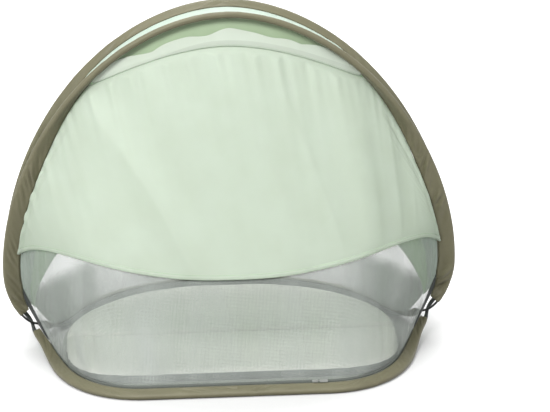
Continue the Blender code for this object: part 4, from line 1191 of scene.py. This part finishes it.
    def hem(self, reach: float) -> None:
        """Hem turned up at the shade's foot: a slim roll of doubled cloth."""
        u, t = np.meshgrid(np.linspace(-reach, reach, self.across), np.linspace(0, 1, 14))
        foot, height = self.wall.hem(u), self.wall.height(u)
        depth = np.minimum(self.hem_depth, (1 - foot) * height * 0.8)
        v = foot + depth * t / height
        b = (v - foot) / np.maximum(self.below(self.clearance)(u) - foot, 0.02)
        roll = self.roll_base + self.roll_crown * np.sin(math.pi * np.clip(t, 0, 1))
        roll = roll + 0.0002 * waves(u, (1.0, 31.0, 0.2), (0.7, 47.0, 1.2))
        points = self.wall.off(u, v, self.shade_lift(u, v, np.clip(b, 0, 1)) + roll)
        sew("shade_hem_fold", points, INSIDE_FRONT, cloth_maps(points, depth * t), 0.0009,
            ("sun_shade_panel", "shade_hem", "mint_cloth", self.finishes.shade_cloth))


@dataclass
class RearPanels:
    """The rear wall: cloth above, netting below, with a hem between them."""

    wall: WallSurface
    finishes: Finishes
    side_share: float = 0.36
    middle_share: float = 0.66
    reach: float = 0.998
    columns: int = 281
    cloth: float = 0.0006
    net_cloth: float = 0.0004
    billow: float = 0.0020
    overlap: float = 0.006          # share of the height by which the net runs up behind the cloth

    def edge(self, u: Array) -> Array:
        """Seam between cloth and net, as a share of the way up: lower at the sides."""
        middle = 1 - np.clip(np.abs(u), 0, 1) ** 2
        return 1 - (self.side_share + (self.middle_share - self.side_share) * middle)

    def grid(self, rows: int, low: Callable[[Array], Array],
             high: Callable[[Array], Array]) -> tuple[Array, Array, Array]:
        """Grids of u, v and the share of the piece's own height."""
        u, b = np.meshgrid(np.linspace(-self.reach, self.reach, self.columns), np.linspace(0, 1, rows))
        return u, low(u) + (high(u) - low(u)) * b, b

    def build(self) -> None:
        """Make the cloth and the net."""
        inside = np.array([0.0, -0.1, 0.2])
        u, v, b = self.grid(110, lambda x: self.edge(x) - 0.001, lambda x: 1 - 0.0002 / self.wall.height(x))
        fade = np.sin(math.pi * b) ** 0.7
        slow = waves(u + 0.05 * b, (0.5, 2.1, 0.4), (0.35, 4.3, 1.3), (0.2, 8.1, 0.2))
        lift = self.billow * fade * (0.8 + slow)
        points = self.wall.off(u, v, lift)
        sew("rear_canopy_cloth", points, inside,
            cloth_maps(points, (v - self.edge(u)) * self.wall.height(u)), self.cloth,
            ("rear_half", "rear_canopy", "mint_cloth", self.finishes.canopy))

        u, v, b = self.grid(50, lambda x: np.zeros_like(x), lambda x: self.edge(x) + self.overlap)
        points = self.wall.off(u, v, -0.0009 * smoothstep(b, 0.7, 1.0))
        # the net is drawn denser in a wedge low down at both sides, painted shade of the lower corners, and
        # less than one layer elsewhere
        low = 1 - smoothstep(points[..., 2], 0.085, 0.125)
        shaded_wedge = low * smoothstep(np.abs(points[..., 0]), 0.22, 0.33)
        sew("rear_net_mesh", points, inside, cloth_maps(points, 1.75 * shaded_wedge - 0.25), self.net_cloth,
            ("rear_half", "rear_net", "net", self.finishes.net))


@dataclass
class RoofGusset:
    """Cloth between the two arches, over the roof and down to both crossings."""

    front: HoopCurve
    rear: HoopCurve
    finishes: Finishes
    slack: float = 0.50             # low down it bows inwards by this share of its width
    bow: float = 0.05               # over the roof it bows outwards by this share
    ripple: float = 0.0009
    rows: int = 25
    columns: int = 361

    def build(self) -> None:
        """Ruled strip between the arch seams, bowed out over the roof and slack inwards low down.
        """
        share = np.linspace(-1, 1, self.columns) * SIZES.door_reach
        near = self.front.seam(share, -SIZES.sheet_apart)
        far = self.rear.seam(share, -SIZES.sheet_apart)
        b = np.linspace(0.003, 0.997, self.rows)[:, None, None]
        line = near[None] * (1 - b) + far[None] * b
        out = unit(line * np.array([1.0, 0.0, 1.0]) - np.array([0.0, 0.0, 0.2]))
        width = np.linalg.norm(far - near, axis=1)[None, :, None]
        slow = waves(share, (1.0, 5.0, 0.3), (0.6, 11.0, 1.4), (0.5, 23.0, 0.1))
        ripple = self.ripple * slow[None, :, None]
        climb = smoothstep(near[:, 2], 0.20, 0.42)[None, :, None]
        bow = self.bow * climb - self.slack * (1 - climb)
        points = line + out * (bow * width + ripple) * np.sin(math.pi * b)
        piece = grid_piece("roof_gusset_cloth", points, np.array([0.0, 0.0, 0.25]), cloth_maps(points),
                           thickness=0.0006)
        piece.data.materials.append(self.finishes.mint)
        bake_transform(piece)
        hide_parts("roof_gusset")


@dataclass
class FloorSet:
    """Ground sheet in two halves and the upstand between it and the base sleeve."""

    hoops: dict[tuple[Kind, Side], HoopCurve]
    finishes: Finishes
    kerb_reach: float = 0.93
    kerb_full: float = 0.72         # the upstand narrows from this share of the hoop onwards
    kerb_narrow: float = 0.92       # and loses this share of its height at its ends
    kerb_foot: float = 0.0024       # height of the upstand's lower edge
    kerb_head: float = 0.0038       # its upper edge lies this far below the sleeve's seam
    sheet_low: float = 0.0008       # least height of the floor's middle surface
    sheet_ripple: float = 0.00025

    def build(self) -> None:
        """Make both floors and both kerbs."""
        for side in Side:
            self.floor(side)
            self.kerb(side)

    @staticmethod
    def plan(side: Side, inset: float, a: Array, b: Array, back: float = 0.0,
             corner: float | None = None) -> tuple[Array, Array]:
        """Place inside the base, whose half width follows a superellipse corner.

        Args:
            side: Front or rear.
            inset: Distance inside the base wire.
            a: Share across, 0 to 1.
            b: Share from the crease to the outer edge.
            back: How much further in the outer edge lies than the sides.
            corner: Exponent of the corners, where they aren't the base's own.

        Returns:
            The x and y of each place.
        """
        shape = SIZES.base(side)
        reach = shape.depth - inset - back
        depth = SIZES.hinge_gap + (reach - SIZES.hinge_gap) * b
        share = np.clip(depth / reach, 0, 1)
        power = corner or shape.roundness
        round_part = (1 - share ** power) ** (1 / power)
        half = shape.straight + (SIZES.base_half_width - shape.straight) * round_part - inset
        return (2 * a - 1) * half, side.value * depth

    def floor(self, side: Side) -> None:
        """Flat coated sheet with shallow ripples, never below the ground."""
        a, b = np.meshgrid(np.linspace(0, 1, 121), np.linspace(0, 1, 61))
        x, y = self.plan(side, SIZES.floor_inset, a, np.sin(b * math.pi / 2))
        ripple = self.sheet_ripple * (1 + waves(x, (0.5, 9.0, 0.2)) * waves(y, (1.0, 7.0, 0.6)))
        points = np.stack([x, y, self.sheet_low + ripple], -1)
        sew(f"{side.label}_floor_sheet", points, np.array([0.0, 0.0, -1.0]), cloth_maps(points), 0.0012,
            (side.body, f"{side.label}_floor", "floor_cloth", self.finishes.floor))

    def kerb(self, side: Side) -> None:
        """Upstand from the floor's edge to the base seam, curving in like a low wall."""
        hoop = self.hoops[Kind.BASE, side]
        share = np.linspace(-self.kerb_reach, self.kerb_reach, 241)
        head = hoop.seam(share) + np.array([0.0, 0.0, -self.kerb_head])
        at = hoop.at(share)
        inward = (head - at) * np.array([1.0, 1.0, 0.0])
        foot = at + unit(inward) * (SIZES.floor_inset + 0.0016)
        foot[:, 2] = self.kerb_foot
        narrow = smoothstep(np.abs(share), self.kerb_full, self.kerb_reach)[:, None] * self.kerb_narrow
        foot = foot + (head - foot) * narrow
        t = np.linspace(0, 1, 15)[:, None, None]
        slump = 0.0012 * np.sin(math.pi * t) * waves(share, (0.6, 9.0, 0.3), (0.4, 17.0, 1.1))[None, :, None]
        points = foot[None] * (1 - t) + head[None] * t + unit(inward)[None] * slump
        sew(f"{side.label}_kerb_cloth", points, np.array([0.0, 0.0, 0.02]), cloth_maps(points), 0.0007,
            (side.body, f"{side.label}_kerb", "floor_cloth", self.finishes.kerb))


@dataclass
class Mattress:
    """Thin folding pad in two halves: foam in a sewn cover that puffs up a little."""

    finishes: Finishes
    fill: float = 0.6
    wider: float = 0.0165           # the sides bulge this far past the solid's
    corner: float = 3.5             # exponent of the front corners, a little squarer than the base's
    back: float = 0.0420            # the end sits this much further in than the sides
    shrink: float = 0.0022          # the start is smaller by this much all round
    rim: tuple[float, float] = (0.018, 0.024)   # the rim's share of the width and of the length
    waist: float = 0.45             # height of the sewn edge as a share of the pad's
    seam_depth: float = 0.0010
    seam_reach: float = 0.0022      # the groove fades over this height
    voxel: float = 0.0050
    pressure: float = 4.0
    stiffness: float = 0.3
    cap: float = 0.0040             # farthest that a point may move
    frames: int = 20

    def build(self) -> None:
        """Make both halves."""
        for side in Side:
            piece = self.slab(side)
            self.puff(piece)
            self.pull_in_seam(piece)
            piece.modifiers.new("Smooth cover", "SUBSURF")
            piece.modifiers[-1].levels = piece.modifiers[-1].render_levels = 1
            seat_on(piece, side.body, [f"{side.label}_pad"], self.finishes.pad)

    def slab(self, side: Side) -> bpy.types.Object:
        """Flat slab with a rounded rim, from a grid of its top and one of its underside.

        The rim rises as the square root of 1 - (1 - t)^2, where t runs in from the edge. The points lie
        closer to each other near the edges, as the cosine of an even angle.
        """
        a, b = np.meshgrid(*(0.5 - 0.5 * np.cos(math.pi * np.linspace(0, 1, count)) for count in (97, 57)))
        x, y = FloorSet.plan(side, SIZES.pad_inset + self.shrink - self.wider, a, 0.010 + 0.990 * b,
                             self.back, self.corner if side is Side.FRONT else None)
        edge = np.minimum(np.minimum(a, 1 - a) * 2 / self.rim[0], np.minimum(b, 1 - b) / self.rim[1])
        rise = np.sqrt(np.clip(1 - (1 - np.clip(edge, 0, 1)) ** 2, 0, 1))
        low, top = SIZES.pad_low + self.shrink, SIZES.pad_top - self.cap * 0.8
        middle = low + (top - low) * self.waist
        upper = np.stack([x, y, middle + (top - middle) * rise], -1)
        lower = np.stack([x, y, middle - (middle - low) * np.clip(rise * 1.6, 0, 1)], -1)[::-1]
        points = np.concatenate([upper, lower[1:]], 0)
        piece = grid_piece(f"{side.label}_pad_cushion", points, points.reshape(-1, 3).mean(0),
                           cloth_maps(points))
        clean(piece)
        return piece

    def puff(self, piece: bpy.types.Object) -> None:
        """Blow the slab up by a cloth simulation and keep the result as a plain mesh."""
        remesh = piece.modifiers.new("Even faces", "REMESH")
        remesh.mode, remesh.voxel_size = "VOXEL", self.voxel
        start = self.evaluated(piece)
        piece.modifiers.clear()
        piece.data = start
        cloth = piece.modifiers.new("Puff", "CLOTH")
        cloth.settings.use_pressure = True
        cloth.settings.uniform_pressure_force = self.pressure
        cloth.settings.effector_weights.gravity = 0.0
        cloth.settings.bending_stiffness = self.stiffness
        rest = self.places(start)
        for frame in range(1, self.frames + 1):
            bpy.context.scene.frame_set(frame)
        swollen = self.evaluated(piece)
        move = self.places(swollen) - rest
        size = np.linalg.norm(move, axis=1, keepdims=True)
        moved = rest + move * np.minimum(1, self.cap / np.maximum(size, 1e-9))
        moved[:, 2] = np.clip(moved[:, 2], SIZES.pad_low + 0.0002, SIZES.pad_top)
        piece.modifiers.clear()
        bpy.context.scene.frame_set(1)
        start.vertices.foreach_set("co", moved.astype(np.float32).ravel())
        start.update()
        start.shade_smooth()
        bpy.data.meshes.remove(swollen)

    @staticmethod
    def evaluated(piece: bpy.types.Object) -> bpy.types.Mesh:
        """Copy of the mesh with its modifiers' result."""
        graph = bpy.context.evaluated_depsgraph_get()
        return bpy.data.meshes.new_from_object(piece.evaluated_get(graph))

    @staticmethod
    def places(mesh: bpy.types.Mesh) -> Array:
        """Vertex places as rows."""
        flat = np.empty(len(mesh.vertices) * 3, np.float32)
        mesh.vertices.foreach_get("co", flat)
        return flat.reshape(-1, 3).astype(float)

    def pull_in_seam(self, piece: bpy.types.Object) -> None:
        """Draw the rim in to a groove along the sewn edge."""
        places = self.places(piece.data)
        middle = SIZES.pad_low + (SIZES.pad_top - SIZES.pad_low) * self.waist
        centre = places.mean(0)
        normals = np.empty(len(places) * 3, np.float32)
        piece.data.vertices.foreach_get("normal", normals)
        normals = normals.reshape(-1, 3)
        near = np.exp(-((places[:, 2:3] - middle) / self.seam_reach) ** 2)
        steep = np.linalg.norm(normals[:, :2], axis=1, keepdims=True) > 0.5
        out = unit((places - centre) * np.array([1, 1, 0]))
        places -= out * self.seam_depth * near * steep
        piece.data.vertices.foreach_set("co", places.astype(np.float32).ravel())
        piece.data.update()


@dataclass
class ZipLine:
    """Coil zip at the foot of the door: its tape and its rows of teeth."""

    wall: WallSurface
    finishes: Finishes
    reach: float = 0.93
    pitch: float = 0.0026
    tooth_thick: float = 0.19       # half of a tooth's breadth as a share of the pitch
    tooth_high: float = 0.00045     # half of its height
    tooth_rings: tuple[tuple[float, float], ...] = (    # place along the tooth, share of its section
        (-0.0009, 0.8), (-0.0002, 1.0), (0.0016, 1.0), (0.0020, 0.7))

    def build(self) -> None:
        """Tape with a raised coil of teeth."""
        u, t = np.meshgrid(np.linspace(-self.reach, self.reach, 401), np.linspace(0, 1, 9))
        points = self.wall.off(u, SIZES.zip_width * t / self.wall.height(u), 0.0003 * np.sin(math.pi * t))
        sew("zip_tape", points, INSIDE_FRONT, cloth_maps(points), 0.0006,
            ("front_half", "zip_chain", "charcoal_tape", self.finishes.zip_tape))
        self.teeth()

    def teeth(self) -> None:
        """Coil loops as short bars that lean to either side in turn, one every pitch."""
        fine = np.linspace(-self.reach, self.reach, 3000)
        line = self.wall.point(fine, np.full(len(fine), 0.5) * SIZES.zip_width / self.wall.height(fine))
        run = np.concatenate([[0], np.cumsum(np.linalg.norm(np.diff(line, axis=0), axis=1))])
        count = int(run[-1] / self.pitch)
        u = np.interp((np.arange(count) + 0.5) * self.pitch, run, fine)
        at = self.wall.off(u, 0.5 * SIZES.zip_width / self.wall.height(u), np.full(count, 0.0005))
        foot = np.zeros(count)
        along = unit(self.wall.point(u + 0.001, foot) - self.wall.point(u - 0.001, foot))
        out = self.wall.normal(u, np.full(count, 0.01))
        up = unit(np.cross(out, along)) * np.where(np.arange(count) % 2, 1, -1)[:, None]
        half = np.array([[-1, -1], [1, -1], [1, 1], [-1, 1]])
        rings = []
        for length, thin in self.tooth_rings:
            corner = (along[:, None] * (half[:, 0] * self.pitch * self.tooth_thick * thin)[None, :, None]
                      + out[:, None] * (half[:, 1] * self.tooth_high * thin)[None, :, None])
            rings.append(at[:, None] + up[:, None] * length + corner)
        points = np.stack(rings, 1).reshape(-1, 3)
        first = np.arange(count)[:, None] * 16
        ring = first[:, :, None] + np.arange(3)[None, :, None] * 4
        k = np.arange(4)[None, None, :]
        quads = np.stack([ring + k, ring + (k + 1) % 4, ring + 4 + (k + 1) % 4, ring + 4 + k], -1)
        caps = np.concatenate([first + np.array([[3, 2, 1, 0]]), first + np.array([[12, 13, 14, 15]])])
        piece = quad_mesh("zip_teeth", points, np.concatenate([quads.reshape(-1, 4), caps]))
        clean(piece)
        seat_on(piece, "front_half", (), self.finishes.teeth)


@dataclass
class Studio:
    """Pale floor, soft lamps, white surround and the camera."""

    yaw: float = math.radians(-2.1)
    roll: float = math.radians(-0.77)
    distance: float = 4.0
    height: float = 1.5
    aim: tuple[float, float, float] = (0.091, 0.0, 0.2755)
    focal_px: float = 2134.0
    frame_px: int = 550
    bounce: float = 0.55
    glow_reach: tuple[float, float] = (0.38, 0.66)   # the glow grows between these distances
    glow_far: float = 0.80
    floor_reach: float = 30.0
    lamp_aim: float = 0.3           # height that the lamps point at
    surround: float = 0.46          # strength of the white surround as a light

    def build(self) -> None:
        """Make floor, light and camera."""
        self.floor()
        self.light()
        self.camera()

    def floor(self) -> None:
        """Matte white sweep; a little of its own glow keeps it white round the shadow."""
        edge = self.floor_reach
        points = np.array([[[-edge, -edge, 0], [edge, -edge, 0]], [[-edge, edge, 0], [edge, edge, 0]]], float)
        piece = grid_piece("studio_floor", points, np.array([0.0, 0.0, -1.0]),
                           {"cloth": points[..., :2]})
        paint = Recipe.of_material("white paper sweep")
        tone = paint.spread(paint.noise(paint.place(), 300.0), start=0.56, end=0.59)
        seen = paint.seen_directly()
        # it throws back only part of its light, as a sweep on a dark table does
        bounce = paint.spread(seen, start=self.bounce, end=1.0)
        material = paint.plug({"Base Color": paint.math("MULTIPLY", tone, bounce), "Roughness": 0.95})
        # the far part is lit up to white, while the shadow near the tent stays
        oval = paint.add("VectorMath", {0: paint.place(), 1: (1.2, 1.0, 1.0)}, operation="MULTIPLY")
        out = paint.add("VectorMath", {0: oval}, operation="LENGTH").outputs["Value"]
        far = paint.spread(out, *self.glow_reach, 0.0, self.glow_far, "SMOOTHSTEP")
        glow = paint.add("Emission", {"Color": (1, 1, 1, 1), "Strength": paint.math("MULTIPLY", seen, far)})
        paint.surface(paint.add("AddShader", {0: paint.shader, 1: glow}))
        piece.data.materials.append(material)

    def light(self) -> None:
        """White surround and five soft lamps: two on the left, one on the right, above and behind."""
        world = bpy.data.worlds.new("studio surround")
        bpy.context.scene.world = world
        world.use_nodes = True
        paint = Recipe(world.node_tree)
        back = world.node_tree.nodes["Background"]
        back.inputs["Color"].default_value = (1, 1, 1, 1)
        paint.feed(back.inputs["Strength"], paint.spread(paint.seen_directly(), start=self.surround, end=1.0))
        for name, place, size, power in (("key lamp", (-1.2, -2.5, 2.7), 1.3, 97.0),
                                         ("low lamp", (-2.8, -1.4, 0.8), 1.0, 17.0),
                                         ("fill lamp", (2.2, -2.3, 2.3), 1.8, 36.0),
                                         ("top lamp", (-0.2, 0.1, 3.3), 1.6, 60.0),
                                         ("back lamp", (0.2, 2.6, 2.6), 2.0, 44.0)):
            data = bpy.data.lights.new(name, "AREA")
            data.size, data.energy = size, power
            lamp = bpy.data.objects.new(name, data)
            lamp.location = place
            aim = Vector((0, 0, self.lamp_aim)) - Vector(place)
            lamp.rotation_euler = aim.to_track_quat("-Z", "Y").to_euler()
            bpy.context.scene.collection.objects.link(lamp)

    def camera(self) -> None:
        """Camera on a circle round the tent, turned to its aim point and rolled a little."""
        place = Vector((math.sin(self.yaw) * self.distance, -math.cos(self.yaw) * self.distance, self.height))
        forward = (Vector(self.aim) - place).normalized()
        place.y += SIZES.cross_y
        right = forward.cross(Vector((0, 0, 1))).normalized()
        up = right.cross(forward)
        turned_right = right * math.cos(self.roll) + up * math.sin(self.roll)
        turned_up = up * math.cos(self.roll) - right * math.sin(self.roll)
        data = bpy.data.cameras.new("camera")
        data.sensor_width = 36.0
        data.lens = self.focal_px / self.frame_px * data.sensor_width
        data.clip_end = 100.0
        camera = bpy.data.objects.new("camera", data)
        turn = Matrix((turned_right, turned_up, -forward)).transposed().to_4x4()
        camera.matrix_world = Matrix.Translation(place) @ turn
        bpy.context.scene.collection.objects.link(camera)
        bpy.context.scene.camera = camera


def plate(nodes: dict[str, bpy.types.Object], zinc: bpy.types.Material) -> None:
    """Give zinc to the small metal parts that stay as they are in the frame."""
    for name in ("zip_slider", "zip_pull", "front_ferrule", "rear_ferrule"):
        for slot in nodes[name].material_slots:
            slot.material = zinc


def main() -> None:
    """Build the tent over the frame, then the studio."""
    logging.basicConfig(level=logging.INFO, format="%(message)s")
    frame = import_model()
    bpy.context.scene.view_settings.view_transform = "Standard"
    Studio().build()
    finishes = Finishes.make()
    hoops = {(kind, side): HoopCurve(kind, side) for kind in Kind for side in Side}
    front = WallSurface(hoops[Kind.ARCH, Side.FRONT], hoops[Kind.BASE, Side.FRONT])
    rear = WallSurface(hoops[Kind.ARCH, Side.REAR], hoops[Kind.BASE, Side.REAR])
    SleeveSet(hoops, finishes).build()
    WireSet(hoops, finishes).build()
    FrontPanels(front, finishes).build()
    RearPanels(rear, finishes).build()
    RoofGusset(hoops[Kind.ARCH, Side.FRONT], hoops[Kind.ARCH, Side.REAR], finishes).build()
    FloorSet(hoops, finishes).build()
    Mattress(finishes).build()
    ZipLine(front, finishes).build()
    plate(frame["nodes"], finishes.zinc)


if __name__ == "__main__":
    main()
